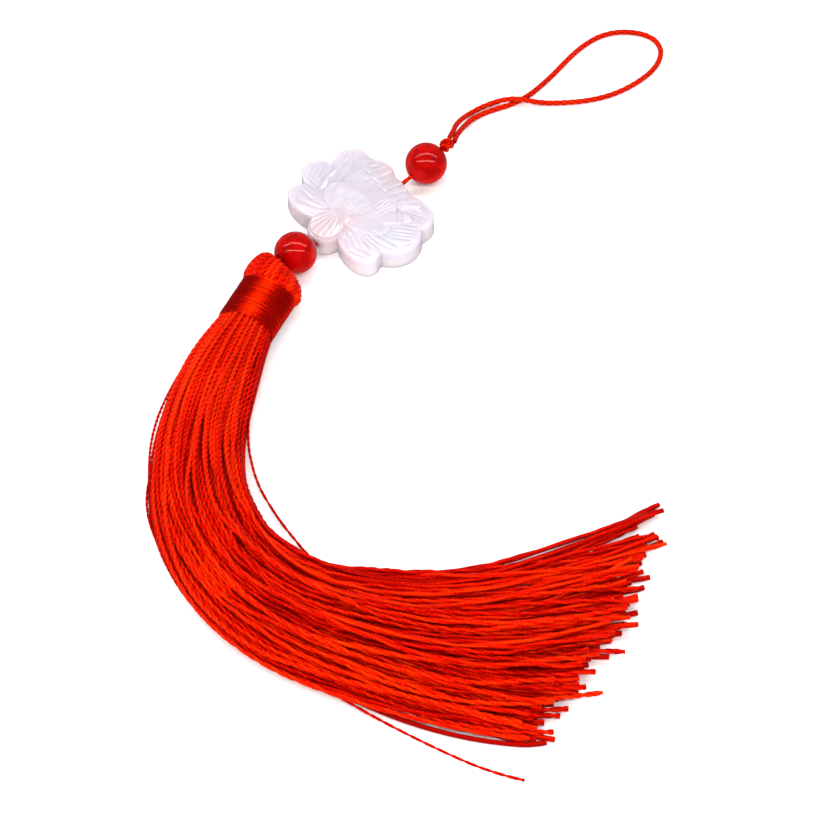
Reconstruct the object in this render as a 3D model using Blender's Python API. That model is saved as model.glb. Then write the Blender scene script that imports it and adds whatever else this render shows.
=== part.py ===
"""Tassel pendant: a hanging loop, two red beads, a carved flower plaque and a silk tassel.

Metres, +Z up. The pendant lies on a level surface at z = 0. The origin is the middle of the
plaque's flat underside, +Y runs along the string from the tassel towards the hanging loop.
Sizes below are in millimetres and are turned into metres where the meshes are made.
"""

import math
import random

import bmesh
import bpy
import numpy as np
from mathutils import Vector

MM = 0.001
CLEARANCE = 0.3

BEAD_RADIUS = 5.0
BEAD_BORE_RADIUS = 1.15
BEAD_FROM_MIDDLE = 20.8
BEAD_BORE_TILT = math.radians(14.0)
BEAD_SIDES = 24
BEAD_RINGS = 12

PLAQUE_SIDES = 92
PLAQUE_RINGS = 12
PLAQUE_BORE_HEIGHT = 3.6
PLAQUE_BORE_RADIUS = 1.15
PLAQUE_BORE_SIDES = 12
PLAQUE_FLOOR_BEVEL = 0.5
PLAQUE_GROUND_HEIGHT = 5.3
PLAQUE_FACE_SHARE = 0.95

STRING_RADIUS = 0.85
STRING_BEND_IN_BEAD = 4.4
STRING_BEND_IN_PLAQUE = 13.0
LOOP_CORD_DIAMETER = 1.0
LOOP_POINTS = 78
LOOP_FLOOR_GAP = 0.02
LOOP_FINE_STEPS = 1200
KNOT_RADIUS = 1.7
KNOT_FROM_BEAD = 7.0
KNOT_RINGS = 8
KNOT_SIDES = 14
KNOT_LUMP_SHARE = 0.06
KNOT_LUMPS = 3

HEAD_TURN = math.radians(22.0)
HEAD_FACE_TURN = math.radians(12.0)
HEAD_FACE_FADE = 5.0
HEAD_DIMPLE_DEPTH = 0.2
HEAD_SIDES = 32
NECK_HEIGHT = 5.3
BINDING_START = 13.0
BINDING_END = 24.9
BINDING_HALF_WIDTH = 7.1
BINDING_HALF_HEIGHT = 5.4
BINDING_THICKNESS = 0.6
BINDING_EDGE = 0.2
NECK_END = 24.4

STRAND_COUNT = 130
STRAND_SEED = 7
STRAND_ROOT_DEPTH = 0.9
STRAND_ROOT_WIDTH = 0.48
STRAND_WIDTH = 0.80
STRAND_HEIGHT_SHARE = 0.80
STRAND_FULL_AFTER = 14.0
STRAND_LAST_STEP = 5.0
STRAND_RAGGEDNESS = 3.5
STRAY_MAX_UP = 0.25
LATTICE_REACH = 30
LATTICE_SHIFT = (0.02, 0.01)
FLOOR_LAYER = 0.75
FLOOR_EASE_START = 0.35
BUNDLE_ROUNDNESS = 0.9

# The plaque's rounded brim: share of the reach, and how far it lies below the face.
PLAQUE_BRIM = ((0.982, 0.35), (1.0, 1.3))

# Petals of the plaque: middle x and y, half length, half width, heading in degrees,
# height of the rim, rise of the dome, and lift from the root to the tip.
OUTER_PETALS = (
    (-8.6, -7.5, 7.9, 4.5, 190.0, 5.2, 0.7, 0.2),
    (-12.4, -1.2, 7.3, 4.8, 172.0, 5.2, 0.8, 0.2),
    (-9.4, 5.2, 8.5, 5.7, 140.0, 5.2, 0.8, 0.1),
    (-5.6, 7.6, 6.3, 6.0, 110.0, 5.3, 0.8, 0.1),
    (1.2, 6.3, 7.4, 5.9, 160.0, 5.3, 0.8, 0.0),
    (7.4, 5.9, 8.4, 5.8, 26.0, 5.2, 0.9, 0.2),
    (9.8, 0.2, 8.0, 7.2, 20.0, 5.2, 1.0, 0.2),
    (7.6, -7.6, 7.1, 4.4, -12.0, 5.1, 0.9, 0.3),
    (-1.2, -9.7, 4.8, 4.4, -70.0, 5.2, 0.4, 0.0),
)
INNER_PETALS = (
    (-10.4, 0.8, 6.6, 3.6, 118.0, 5.7, 0.8, 0.3),
    (12.2, 2.8, 5.0, 3.2, 38.0, 5.8, 0.8, 0.2),
    (10.6, -4.6, 6.0, 3.4, 12.0, 5.7, 0.8, 0.4),
    (-8.2, 8.8, 2.8, 2.5, 118.0, 5.9, 0.5, 0.0),
    (-4.4, 10.6, 2.6, 2.4, 100.0, 5.9, 0.5, 0.0),
    (-0.4, 10.2, 2.5, 2.3, 88.0, 5.9, 0.5, 0.0),
    (3.4, 9.4, 2.5, 2.3, 75.0, 5.9, 0.5, 0.0),
    (7.4, 8.6, 3.2, 2.4, 58.0, 5.9, 0.5, 0.0),
    (-4.8, 5.4, 4.4, 3.6, 112.0, 6.1, 0.6, 0.2),
    (1.0, 5.6, 4.2, 3.8, 88.0, 6.1, 0.6, 0.2),
    (8.4, 2.4, 5.8, 2.5, 56.0, 6.1, 0.6, 0.2),
    (5.0, 1.2, 6.2, 2.7, 74.0, 6.2, 0.6, 0.2),
    (-3.2, -1.0, 6.0, 6.2, 94.0, 6.2, 0.9, 0.1),
    (-1.0, -9.8, 3.5, 3.9, -94.0, 5.8, 0.6, 0.0),
)

# Folded-yarn head, from its face to its waist: distance from the lower bead's middle,
# half width, half height, height of the middle, and sideways shift of the dimple.
HEAD_RINGS = (
    (7.6, 1.3, 1.2, 6.2, -2.0),
    (7.1, 2.6, 2.3, 6.0, -1.5),
    (6.7, 3.9, 3.3, 5.8, -0.8),
    (6.8, 5.1, 4.2, 5.6, -0.3),
    (7.5, 6.2, 4.9, 5.5, 0.0),
    (8.8, 7.1, 5.4, 5.5, 0.0),
    (10.4, 7.6, 5.7, 5.6, 0.0),
    (11.8, 7.5, 5.6, 5.5, 0.0),
    (12.5, 7.0, 5.2, 5.3, 0.0),
    (12.7, 6.2, 4.5, 5.3, 0.0),
)

# The skirt's course: distance along its middle, middle x and y, half width,
# half height, and how far the strands have settled on the floor (0 to 1).
SKIRT_SECTIONS = (
    (0.0, 9.15, -43.4, 5.8, 4.05, 0.0),
    (9.0, 12.8, -51.6, 8.4, 4.2, 0.35),
    (21.5, 19.0, -62.4, 9.6, 4.2, 0.8),
    (36.0, 28.4, -73.5, 10.5, 3.9, 1.0),
    (49.5, 39.4, -81.3, 11.6, 3.5, 1.0),
    (66.5, 55.8, -85.4, 12.9, 3.1, 1.0),
    (83.5, 72.4, -82.6, 14.3, 2.7, 1.0),
    (103.0, 89.4, -72.9, 16.8, 2.3, 1.0),
    (125.0, 106.0, -58.6, 21.6, 1.9, 1.0),
    (155.0, 124.2, -35.0, 29.2, 1.5, 1.0),
    (176.0, 135.0, -17.2, 35.0, 1.3, 1.0),
)
STATIONS = (0.0, 7.0, 16.0, 28.0, 40.0, 52.0, 65.0, 79.0, 95.0, 114.0, 137.0, 158.0)

# Where the strands are cut: place across the bundle (-1 outer edge, 1 inner edge) and the
# distance along the skirt's middle that their tips reach there.
TRIM_LINE = (
    (-1.0, 132.0),
    (-0.65, 136.0),
    (-0.3, 143.0),
    (0.0, 151.0),
    (0.35, 160.5),
    (0.65, 169.5),
    (1.0, 176.0),
)

# Strands that stray from the bundle: side (1 inner, -1 outer), start and end of the
# stretch where it stands off, and how far it stands off.
STRAYS = (
    (1.0, 14.0, 96.0, 3.4),
    (-1.0, 8.0, 46.0, 1.8),
    (-1.0, 92.0, 190.0, 7.6),
)

# The hanging loop's route from the knot, round and back to the knot.
LOOP_ROUTE = (
    (-1.05, 29.45, 7.15),
    (-2.5, 31.9, 6.2),
    (-4.7, 34.9, 4.3),
    (-6.5, 38.5, 2.4),
    (-7.4, 42.4, 0.95),
    (-7.2, 45.9, 0.65),
    (-6.2, 48.9, 0.95),
    (-4.7, 51.3, 1.55),
    (-2.9, 53.3, 1.95),
    (-1.0, 55.3, 1.6),
    (1.0, 57.4, 1.0),
    (3.3, 60.0, 0.6),
    (6.0, 63.3, 0.5),
    (8.9, 67.7, 0.5),
    (11.0, 72.1, 0.5),
    (12.3, 76.9, 0.5),
    (12.8, 82.0, 0.5),
    (12.5, 86.7, 0.5),
    (11.2, 90.6, 0.5),
    (9.0, 93.4, 0.5),
    (6.1, 94.7, 0.5),
    (2.9, 94.3, 0.5),
    (-0.2, 92.4, 0.5),
    (-2.9, 89.4, 0.5),
    (-4.6, 85.7, 0.5),
    (-5.2, 81.2, 0.5),
    (-4.9, 76.0, 0.5),
    (-4.1, 71.4, 0.5),
    (-3.2, 66.8, 0.5),
    (-2.6, 62.3, 0.5),
    (-2.3, 58.4, 0.5),
    (-2.5, 55.0, 0.5),
    (-3.2, 51.6, 0.5),
    (-4.4, 48.2, 0.5),
    (-5.4, 44.7, 0.5),
    (-5.6, 41.3, 0.95),
    (-4.6, 38.0, 2.1),
    (-2.8, 34.4, 4.0),
    (-0.9, 31.4, 5.8),
    (0.45, 29.65, 6.7),
)


def clear_scene():
    """Remove whatever the scene starts with."""
    for item in list(bpy.data.objects):
        bpy.data.objects.remove(item, do_unlink=True)


def make_material(name, colour, roughness):
    """A plain Principled material with one colour."""
    material = bpy.data.materials.new(name)
    material.use_nodes = True
    shader = material.node_tree.nodes["Principled BSDF"]
    shader.inputs["Base Color"].default_value = (*colour, 1.0)
    shader.inputs["Roughness"].default_value = roughness
    shader.inputs["Metallic"].default_value = 0.0
    return material


def add_object(name, mesh, material):
    """Put a mesh in the scene under its node's name, shaded smooth with crisp edges."""
    mesh.materials.append(material)
    mesh.shade_smooth()
    mesh.set_sharp_from_angle(angle=math.radians(40.0))
    item = bpy.data.objects.new(name, mesh)
    bpy.context.scene.collection.objects.link(item)
    return item


def mesh_from_rings(name, rings, start=None, end=None, closed=False):
    """Skin rings of equal point count, given in millimetres.

    start and end are points that close the two ends; closed joins the last ring to the first.
    """
    shape = bmesh.new()
    loops = []
    for ring in rings:
        loops.append([shape.verts.new(Vector(point) * MM) for point in ring])
    if closed:
        loops.append(loops[0])
    for low, high in zip(loops, loops[1:]):
        for i in range(len(low)):
            j = (i + 1) % len(low)
            shape.faces.new((low[i], low[j], high[j], high[i]))
    for point, loop in ((start, loops[0]), (end, loops[-1])):
        if point is not None:
            pole = shape.verts.new(Vector(point) * MM)
            for i in range(len(loop)):
                shape.faces.new((loop[i], loop[(i + 1) % len(loop)], pole))
    bmesh.ops.recalc_face_normals(shape, faces=shape.faces)
    mesh = bpy.data.meshes.new(name)
    shape.to_mesh(mesh)
    shape.free()
    return mesh


def smooth_row(table, along):
    """Read a table whose first column rises, on one smooth curve through its rows."""
    rows = np.array(table)
    keys = rows[:, 0]
    slopes = np.gradient(rows, keys, axis=0)
    index = int(np.clip(np.searchsorted(keys, along) - 1, 0, len(keys) - 2))
    span = keys[index + 1] - keys[index]
    t = (along - keys[index]) / span
    weights = (2 * t**3 - 3 * t**2 + 1, t**3 - 2 * t**2 + t, -2 * t**3 + 3 * t**2, t**3 - t**2)
    return (
        weights[0] * rows[index]
        + weights[1] * span * slopes[index]
        + weights[2] * rows[index + 1]
        + weights[3] * span * slopes[index + 1]
    )


def ease(value):
    """A smooth step from 0 to 1."""
    value = min(max(value, 0.0), 1.0)
    return value * value * (3.0 - 2.0 * value)


def subtract(target, cutter):
    """Cut one object out of another and drop the cutter."""
    cut = target.modifiers.new("bore", "BOOLEAN")
    cut.operation = "DIFFERENCE"
    cut.solver = "EXACT"
    cut.object = cutter
    cutter.hide_render = True
    cutter.display_type = "WIRE"


def tube_object(name, start, end, radius, sides, material):
    """A straight round bar between two points, in millimetres."""
    first = Vector(start)
    last = Vector(end)
    direction = (last - first).normalized()
    across = direction.orthogonal().normalized()
    other = direction.cross(across)
    rings = []
    for centre in (first, last):
        ring = []
        for i in range(sides):
            angle = 2 * math.pi * i / sides
            ring.append(centre + radius * (math.cos(angle) * across + math.sin(angle) * other))
        rings.append(ring)
    mesh = mesh_from_rings(name, rings, first, last)
    return add_object(name, mesh, material)


def cord_object(name, points, diameter, material):
    """A round cord along points, in millimetres, as a bevelled curve with filled ends."""
    curve = bpy.data.curves.new(name, "CURVE")
    curve.dimensions = "3D"
    curve.bevel_depth = diameter / 2 * MM
    curve.bevel_resolution = 2
    curve.use_fill_caps = True
    spline = curve.splines.new("POLY")
    spline.points.add(len(points) - 1)
    for target, point in zip(spline.points, points):
        target.co = (*(Vector(point) * MM), 1.0)
    curve.materials.append(material)
    item = bpy.data.objects.new(name, curve)
    bpy.context.scene.collection.objects.link(item)
    return item


def even_points(route, count, lowest):
    """Points at even steps along one smooth curve through a route, none below a height."""
    route = np.array(route)
    steps = np.linalg.norm(np.diff(route, axis=0), axis=1)
    keys = np.concatenate(([0.0], np.cumsum(steps)))
    table = np.column_stack((keys, route))
    stops = np.linspace(0.0, keys[-1], LOOP_FINE_STEPS)
    fine = np.array([smooth_row(table, stop)[1:] for stop in stops])
    fine[:, 2] = np.maximum(fine[:, 2], lowest)
    lengths = np.concatenate(([0.0], np.cumsum(np.linalg.norm(np.diff(fine, axis=0), axis=1))))
    wanted = np.linspace(0.0, lengths[-1], count)
    return [[np.interp(stop, lengths, fine[:, axis]) for axis in range(3)] for stop in wanted]


def bead_axis(side):
    """Direction of a bead's bore, away from the plaque; side is 1 above it and -1 below."""
    return Vector((0.0, side * math.cos(BEAD_BORE_TILT), math.sin(BEAD_BORE_TILT)))


def build_bead(name, side, material):
    """A round bead with a bore through it."""
    middle = Vector((0.0, side * BEAD_FROM_MIDDLE, BEAD_RADIUS))
    axis = bead_axis(side)
    across = Vector((1.0, 0.0, 0.0))
    other = axis.cross(across)
    edge = math.asin(BEAD_BORE_RADIUS / BEAD_RADIUS)
    profile = []
    for i in range(BEAD_RINGS + 1):
        angle = edge + (math.pi - 2 * edge) * i / BEAD_RINGS
        profile.append((BEAD_RADIUS * math.cos(angle), BEAD_RADIUS * math.sin(angle)))
    rings = []
    for along, radius in profile:
        ring = []
        for i in range(BEAD_SIDES):
            angle = 2 * math.pi * i / BEAD_SIDES
            point = middle + along * axis
            point += radius * (math.cos(angle) * across + math.sin(angle) * other)
            ring.append(point)
        rings.append(ring)
    mesh = mesh_from_rings(name, rings, closed=True)
    return add_object(name, mesh, material)


def petal_place(petal, x, y):
    """A point in a petal's own measure: along it, across it, both 1 at the rim."""
    heading = math.radians(petal[4])
    dx = x - petal[0]
    dy = y - petal[1]
    along = (dx * math.cos(heading) + dy * math.sin(heading)) / petal[2]
    across = (-dx * math.sin(heading) + dy * math.cos(heading)) / petal[3]
    return along, across


def plaque_reach(angle):
    """Distance from the plaque's middle to its outline, the farthest rim of the outer petals."""
    reach = 0.0
    for petal in OUTER_PETALS:
        start = petal_place(petal, 0.0, 0.0)
        step = petal_place(petal, math.cos(angle), math.sin(angle))
        run = (step[0] - start[0], step[1] - start[1])
        a = run[0] ** 2 + run[1] ** 2
        b = 2 * (start[0] * run[0] + start[1] * run[1])
        c = start[0] ** 2 + start[1] ** 2 - 1.0
        inside = b * b - 4 * a * c
        if inside > 0.0:
            reach = max(reach, (-b + math.sqrt(inside)) / (2 * a))
    return reach


def plaque_height(x, y):
    """Height of the carved face: the highest petal at a point."""
    height = PLAQUE_GROUND_HEIGHT
    for petal in OUTER_PETALS + INNER_PETALS:
        along, across = petal_place(petal, x, y)
        rim = along**2 + across**2
        if rim < 1.0:
            height = max(height, petal[5] + petal[6] * math.sqrt(1.0 - rim) + petal[7] * along)
    return height


def build_plaque(material, hidden):
    """The carved flower: flat underneath, petals on top, bored along the string."""
    reaches = [plaque_reach(2 * math.pi * i / PLAQUE_SIDES) for i in range(PLAQUE_SIDES)]
    levels = [(k / PLAQUE_RINGS * PLAQUE_FACE_SHARE, 0.0) for k in range(1, PLAQUE_RINGS + 1)]
    levels += PLAQUE_BRIM
    rings = []
    for share, drop in levels:
        ring = []
        for i, reach in enumerate(reaches):
            angle = 2 * math.pi * i / PLAQUE_SIDES
            x = reach * share * math.cos(angle)
            y = reach * share * math.sin(angle)
            inner = min(share, PLAQUE_FACE_SHARE) / share
            ring.append((x, y, plaque_height(x * inner, y * inner) - drop))
        rings.append(ring)
    foot = [(x, y, PLAQUE_FLOOR_BEVEL) for x, y, z in rings[-1]]
    inset = 1.0 - PLAQUE_FLOOR_BEVEL / max(reaches)
    under = [(x * inset, y * inset, 0.0) for x, y, z in foot]
    rings += [foot, under]
    top = (0.0, 0.0, plaque_height(0.0, 0.0))
    mesh = mesh_from_rings("flower_plate", rings, top, (0.0, 0.0, 0.0))
    plaque = add_object("flower_plate", mesh, material)
    start = (0.0, -BEAD_FROM_MIDDLE, PLAQUE_BORE_HEIGHT)
    end = (0.0, BEAD_FROM_MIDDLE, PLAQUE_BORE_HEIGHT)
    bore = tube_object("bore_cutter", start, end, PLAQUE_BORE_RADIUS, PLAQUE_BORE_SIDES, hidden)
    subtract(plaque, bore)
    return plaque


def head_point(along, sideways, height):
    """A point of the head: distance from the lower bead's middle along the head's axis."""
    x = along * math.sin(HEAD_TURN) + sideways * math.cos(HEAD_TURN)
    y = -BEAD_FROM_MIDDLE - along * math.cos(HEAD_TURN) + sideways * math.sin(HEAD_TURN)
    return (x, y, height)


def head_ring(along, half_width, half_height, middle_height, shift=0.0, turned=0.0):
    """An oval ring round the head's axis, flat where it meets the floor."""
    ring = []
    for i in range(HEAD_SIDES):
        angle = 2 * math.pi * i / HEAD_SIDES
        sideways = half_width * math.cos(angle)
        height = middle_height + half_height * math.sin(angle)
        point = head_point(
            along + sideways * math.sin(turned), shift + sideways * math.cos(turned), max(height, 0.0)
        )
        ring.append(point)
    return ring


def strand_section(along):
    """The skirt's middle, its direction, half width, half height and settling at a distance."""
    row = smooth_row(SKIRT_SECTIONS, along)
    step = smooth_row(SKIRT_SECTIONS, along + 0.5) - smooth_row(SKIRT_SECTIONS, along - 0.5)
    direction = Vector((step[1], step[2], 0.0)).normalized()
    return Vector((row[1], row[2], 0.0)), direction, row[3], row[4], min(max(row[5], 0.0), 1.0)


def stand_off(stray, along):
    """How far a stray strand is pushed out of the bundle at a distance."""
    if stray is None:
        return 0.0
    side, start, end, distance = stray
    if not start < along < end:
        return 0.0
    return side * distance * math.sin(math.pi * (along - start) / (end - start)) ** 2


def strand_point(across, up, along, stray=None):
    """Middle of a strand's underside. across and up place it in the bundle's unit disc."""
    middle, direction, half_width, half_height, settled = strand_section(along)
    inward = Vector((-direction.y, direction.x, 0.0))
    free = NECK_HEIGHT + half_height * up
    laid = half_height * (up + math.sqrt(1.0 - BUNDLE_ROUNDNESS * across * across))
    height = (1.0 - settled) * free + settled * laid
    height *= ease((height / FLOOR_LAYER - FLOOR_EASE_START) / (1.0 - FLOOR_EASE_START))
    point = middle + inward * (half_width * across + stand_off(stray, along))
    point.z = height
    return point, inward


def strand_places():
    """Places of the strands in the unit disc, evenly spaced however the disc is stretched."""
    golden = (1.0 + math.sqrt(5.0)) / 2.0
    step = math.sqrt(math.pi / (math.sqrt(5.0) * STRAND_COUNT))
    places = []
    for m in range(-LATTICE_REACH, LATTICE_REACH + 1):
        for n in range(-LATTICE_REACH, LATTICE_REACH + 1):
            x = (m + n * golden) * step + LATTICE_SHIFT[0]
            y = (m + n * (1.0 - golden)) * step + LATTICE_SHIFT[1]
            if x * x + y * y < 1.0:
                places.append((x, y))
    return sorted(places)


def strand_rings(across, up, length, stray):
    """Three-sided rings along one strand, level side down."""
    middle_stops = [stop for stop in STATIONS[1:] if stop < length - STRAND_LAST_STEP]
    stops = [-STRAND_ROOT_DEPTH] + middle_stops + [length]
    rings = []
    for along in stops:
        point, inward = strand_point(across, up, max(along, 0.0), stray)
        if along < 0.0:
            back = strand_section(0.0)[1]
            point = point + back * along
        grown = ease(along / STRAND_FULL_AFTER)
        half = (STRAND_ROOT_WIDTH + (STRAND_WIDTH - STRAND_ROOT_WIDTH) * grown) / 2
        rise = Vector((0.0, 0.0, 2 * half * STRAND_HEIGHT_SHARE))
        rings.append((point - inward * half, point + inward * half, point + rise))
    return rings


def build_strands(name):
    """All the strands as one mesh of separate closed bars."""
    draw = random.Random(STRAND_SEED)
    places = strand_places()
    strays = {}
    low = [place for place in places if place[1] < STRAY_MAX_UP]
    strays[max(low)] = STRAYS[0]
    strays[min(low)] = STRAYS[1]
    strays[sorted(low)[1]] = STRAYS[2]
    trim = np.array(TRIM_LINE)
    shape = bmesh.new()
    for across, up in places:
        length = float(np.interp(across, trim[:, 0], trim[:, 1]))
        length += draw.uniform(-1.0, 1.0) * STRAND_RAGGEDNESS
        rings = strand_rings(across, up, length, strays.get((across, up)))
        loops = [[shape.verts.new(point * MM) for point in ring] for ring in rings]
        shape.faces.new(loops[0])
        shape.faces.new(list(reversed(loops[-1])))
        for near, far in zip(loops, loops[1:]):
            for i in range(3):
                j = (i + 1) % 3
                shape.faces.new((near[i], far[i], far[j], near[j]))
    bmesh.ops.recalc_face_normals(shape, faces=shape.faces)
    mesh = bpy.data.meshes.new(name)
    shape.to_mesh(mesh)
    shape.free()
    return mesh


def build_tassel(material):
    """The folded-yarn head with its neck, and the strands fused into it."""
    rings = []
    for along, half_width, half_height, middle, shift in HEAD_RINGS:
        turned = HEAD_FACE_TURN * ease((BINDING_START - along) / HEAD_FACE_FADE)
        rings.append(head_ring(along, half_width, half_height, middle, shift, turned))
    waist = HEAD_RINGS[-1]
    rings.append(head_ring(NECK_END, waist[1], waist[2], waist[3]))
    dimple = HEAD_RINGS[0]
    face = head_point(dimple[0] + HEAD_DIMPLE_DEPTH, dimple[4], dimple[3])
    end = head_point(NECK_END, 0.0, NECK_HEIGHT)
    mesh = mesh_from_rings("tassel", rings, face, end)
    head = add_object("tassel", mesh, material)
    strands = bpy.data.objects.new("strand_bars", build_strands("strand_bars"))
    bpy.context.scene.collection.objects.link(strands)
    strands.hide_render = True
    strands.display_type = "WIRE"
    join = head.modifiers.new("roots", "BOOLEAN")
    join.operation = "UNION"
    join.solver = "EXACT"
    join.object = strands
    return head


def build_binding(material):
    """The wound thread: an oval sleeve round the neck."""
    outer = (BINDING_HALF_WIDTH, BINDING_HALF_HEIGHT)
    thick = BINDING_THICKNESS
    profile = (
        (BINDING_START, thick),
        (BINDING_START, BINDING_EDGE),
        (BINDING_START + BINDING_EDGE, 0.0),
        (BINDING_END - BINDING_EDGE, 0.0),
        (BINDING_END, BINDING_EDGE),
        (BINDING_END, thick),
    )
    rings = []
    for along, inset in profile:
        rings.append(head_ring(along, outer[0] - inset, outer[1] - inset, NECK_HEIGHT))
    mesh = mesh_from_rings("binding", rings, closed=True)
    return add_object("binding", mesh, material)


def build_knot(material):
    """The knot above the upper bead, lumpy from the cord's turns."""
    axis = bead_axis(1)
    middle = Vector((0.0, BEAD_FROM_MIDDLE, BEAD_RADIUS)) + axis * KNOT_FROM_BEAD
    across = Vector((1.0, 0.0, 0.0))
    other = axis.cross(across)
    rings = []
    for k in range(1, KNOT_RINGS):
        slope = math.pi * k / KNOT_RINGS
        ring = []
        for i in range(KNOT_SIDES):
            angle = 2 * math.pi * i / KNOT_SIDES
            lump = KNOT_LUMP_SHARE * (math.cos(KNOT_LUMPS * angle + 4 * slope) - 1.0)
            radius = KNOT_RADIUS * (1.0 + lump)
            sideways = radius * math.sin(slope)
            point = middle + axis * radius * math.cos(slope)
            point += sideways * (math.cos(angle) * across + math.sin(angle) * other)
            ring.append(point)
        rings.append(ring)
    start = middle + axis * KNOT_RADIUS
    end = middle - axis * KNOT_RADIUS
    mesh = mesh_from_rings("top_knot", rings, start, end)
    return add_object("top_knot", mesh, material)


def string_route():
    """The doubled cord's path from the knot, through both beads and the plaque, to the head."""
    top = Vector((0.0, BEAD_FROM_MIDDLE, BEAD_RADIUS))
    low = Vector((0.0, -BEAD_FROM_MIDDLE, BEAD_RADIUS))
    knot_gap = KNOT_FROM_BEAD - KNOT_RADIUS - CLEARANCE
    dimple = HEAD_RINGS[0]
    return (
        top + bead_axis(1) * knot_gap,
        top,
        top - bead_axis(1) * STRING_BEND_IN_BEAD,
        (0.0, STRING_BEND_IN_PLAQUE, PLAQUE_BORE_HEIGHT),
        (0.0, 0.0, PLAQUE_BORE_HEIGHT),
        (0.0, -STRING_BEND_IN_PLAQUE, PLAQUE_BORE_HEIGHT),
        low - bead_axis(-1) * STRING_BEND_IN_BEAD,
        low,
        low + bead_axis(-1) * STRING_BEND_IN_BEAD,
        head_point(dimple[0] - CLEARANCE, dimple[4], dimple[3]),
    )


def main():
    """Build the pendant's pieces."""
    clear_scene()
    silk = make_material("red_silk_yarn", (0.72, 0.02, 0.008), 0.45)
    thread = make_material("red_winding_thread", (0.58, 0.012, 0.006), 0.35)
    cord = make_material("red_cord", (0.66, 0.03, 0.01), 0.5)
    red = make_material("red_bead", (0.55, 0.004, 0.004), 0.08)
    stone = make_material("pale_carved_stone", (0.88, 0.78, 0.86), 0.18)
    build_tassel(silk)
    build_binding(thread)
    build_bead("bead_top", 1, red)
    build_bead("bead_bottom", -1, red)
    build_plaque(stone, stone)
    build_knot(cord)
    cord_object("stringing_cord", string_route(), 2 * STRING_RADIUS, cord)
    loop = even_points(LOOP_ROUTE, LOOP_POINTS, LOOP_CORD_DIAMETER / 2 + LOOP_FLOOR_GAP)
    cord_object("hanging_loop", loop, LOOP_CORD_DIAMETER, cord)


main()
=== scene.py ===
"""Tassel pendant, dressed: silk yarn, wound thread, red beads, a carved stone flower and a cord loop.

The file is laid out as an add-on for Blender 4.5 and is run as a script. Lengths in the tables
are in millimetres and become metres where the meshes are made. The pendant lies on z = 0, the
origin is under the plaque's middle and +Y runs along the string towards the hanging loop.
"""

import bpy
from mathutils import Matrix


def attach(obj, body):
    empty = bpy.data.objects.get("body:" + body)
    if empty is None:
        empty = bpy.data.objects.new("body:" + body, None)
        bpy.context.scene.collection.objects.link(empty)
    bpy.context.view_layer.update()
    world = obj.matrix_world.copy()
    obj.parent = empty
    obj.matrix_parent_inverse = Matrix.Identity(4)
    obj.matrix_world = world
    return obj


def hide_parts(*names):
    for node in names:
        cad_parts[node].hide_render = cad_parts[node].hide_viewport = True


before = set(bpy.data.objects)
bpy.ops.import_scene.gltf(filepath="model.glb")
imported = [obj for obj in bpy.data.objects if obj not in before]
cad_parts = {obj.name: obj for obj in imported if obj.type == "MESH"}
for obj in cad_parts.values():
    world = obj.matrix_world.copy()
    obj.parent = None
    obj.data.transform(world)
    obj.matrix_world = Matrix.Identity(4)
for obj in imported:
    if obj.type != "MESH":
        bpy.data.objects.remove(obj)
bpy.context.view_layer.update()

import math
from collections import namedtuple

import bmesh
import bpy
import numpy as np
from bpy.props import FloatProperty, FloatVectorProperty, IntProperty, PointerProperty
from mathutils import Matrix, Vector

bl_info = {
    "name": "Tassel pendant",
    "version": (1, 0, 0),
    "blender": (4, 5, 0),
    "location": "View3D > Sidebar > Pendant",
    "description": "Makes the visible pieces of a silk tassel pendant with beads and a carved flower",
    "category": "Object",
}

MM = 0.001
TAU = 2.0 * math.pi
RIGHT = np.array((1.0, 0.0, 0.0))

# Stage, in metres: the camera, the floor, and the lamps with their way back from the aim, height,
# width, depth and shift to the right.
CAMERA_PLACE = (0.2629, -0.2181, 0.4236)
CAMERA_AIM = (0.04945, -0.02815, 0.0)
CAMERA_LENS_MM = 97.9
FLOOR_HALF = 3.0
FLOOR_LEVEL = -0.00003
FLOOR_COLOUR = (0.93, 0.93, 0.93)
LAMPS = {
    "strip_far": (0.22, 0.62, 1.9, 0.11, 0.0),
    "strip_near": (-0.26, 0.64, 1.9, 0.08, 0.0),
    "key": (0.75, 0.85, 0.7, 0.5, -0.4),
    "fill": (-1.0, 0.4, 1.3, 0.5, -0.1),
}

BEAD_RADIUS = 5.1
BEAD_BORE_RADIUS = 1.15
BEAD_BORE_ROUNDING = 0.22
BEAD_FROM_MIDDLE = 20.8
BEAD_BORE_TILT = math.radians(14.0)
BEAD_SIDES = 72
BEAD_RINGS = 44

PLAQUE_BORE_HEIGHT = 3.6
PLAQUE_BORE_RADIUS = 1.15
PLAQUE_BORE_SIDES = 32
PLAQUE_FLOOR_BEVEL = 0.5
PLAQUE_RIM_HEIGHT = 5.2
PLAQUE_DOME_RISE = 1.2
PLAQUE_DOME_FULLNESS = 0.8
PLAQUE_FACE_SHARE = 0.95
PLAQUE_RIM_DROP = 1.3
PLAQUE_RIM_RINGS = 8
PLAQUE_WALL_RINGS = 8
PLAQUE_BEVEL_RINGS = 3
PLAQUE_SMOOTHINGS = 6
PLAQUE_SHARP_ANGLE = math.radians(50.0)
PETAL_STEP = 0.22
PETAL_RISE = 0.25
PETAL_LIP = 0.1
PETAL_LIP_WIDTH = 0.16
PETAL_EDGE = 0.5
VEIN_ROOT = 1.25
VEIN_RATE = 3.2
VEIN_DEPTH = 1.5
STROKE_DEPTH = 1.35

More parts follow.
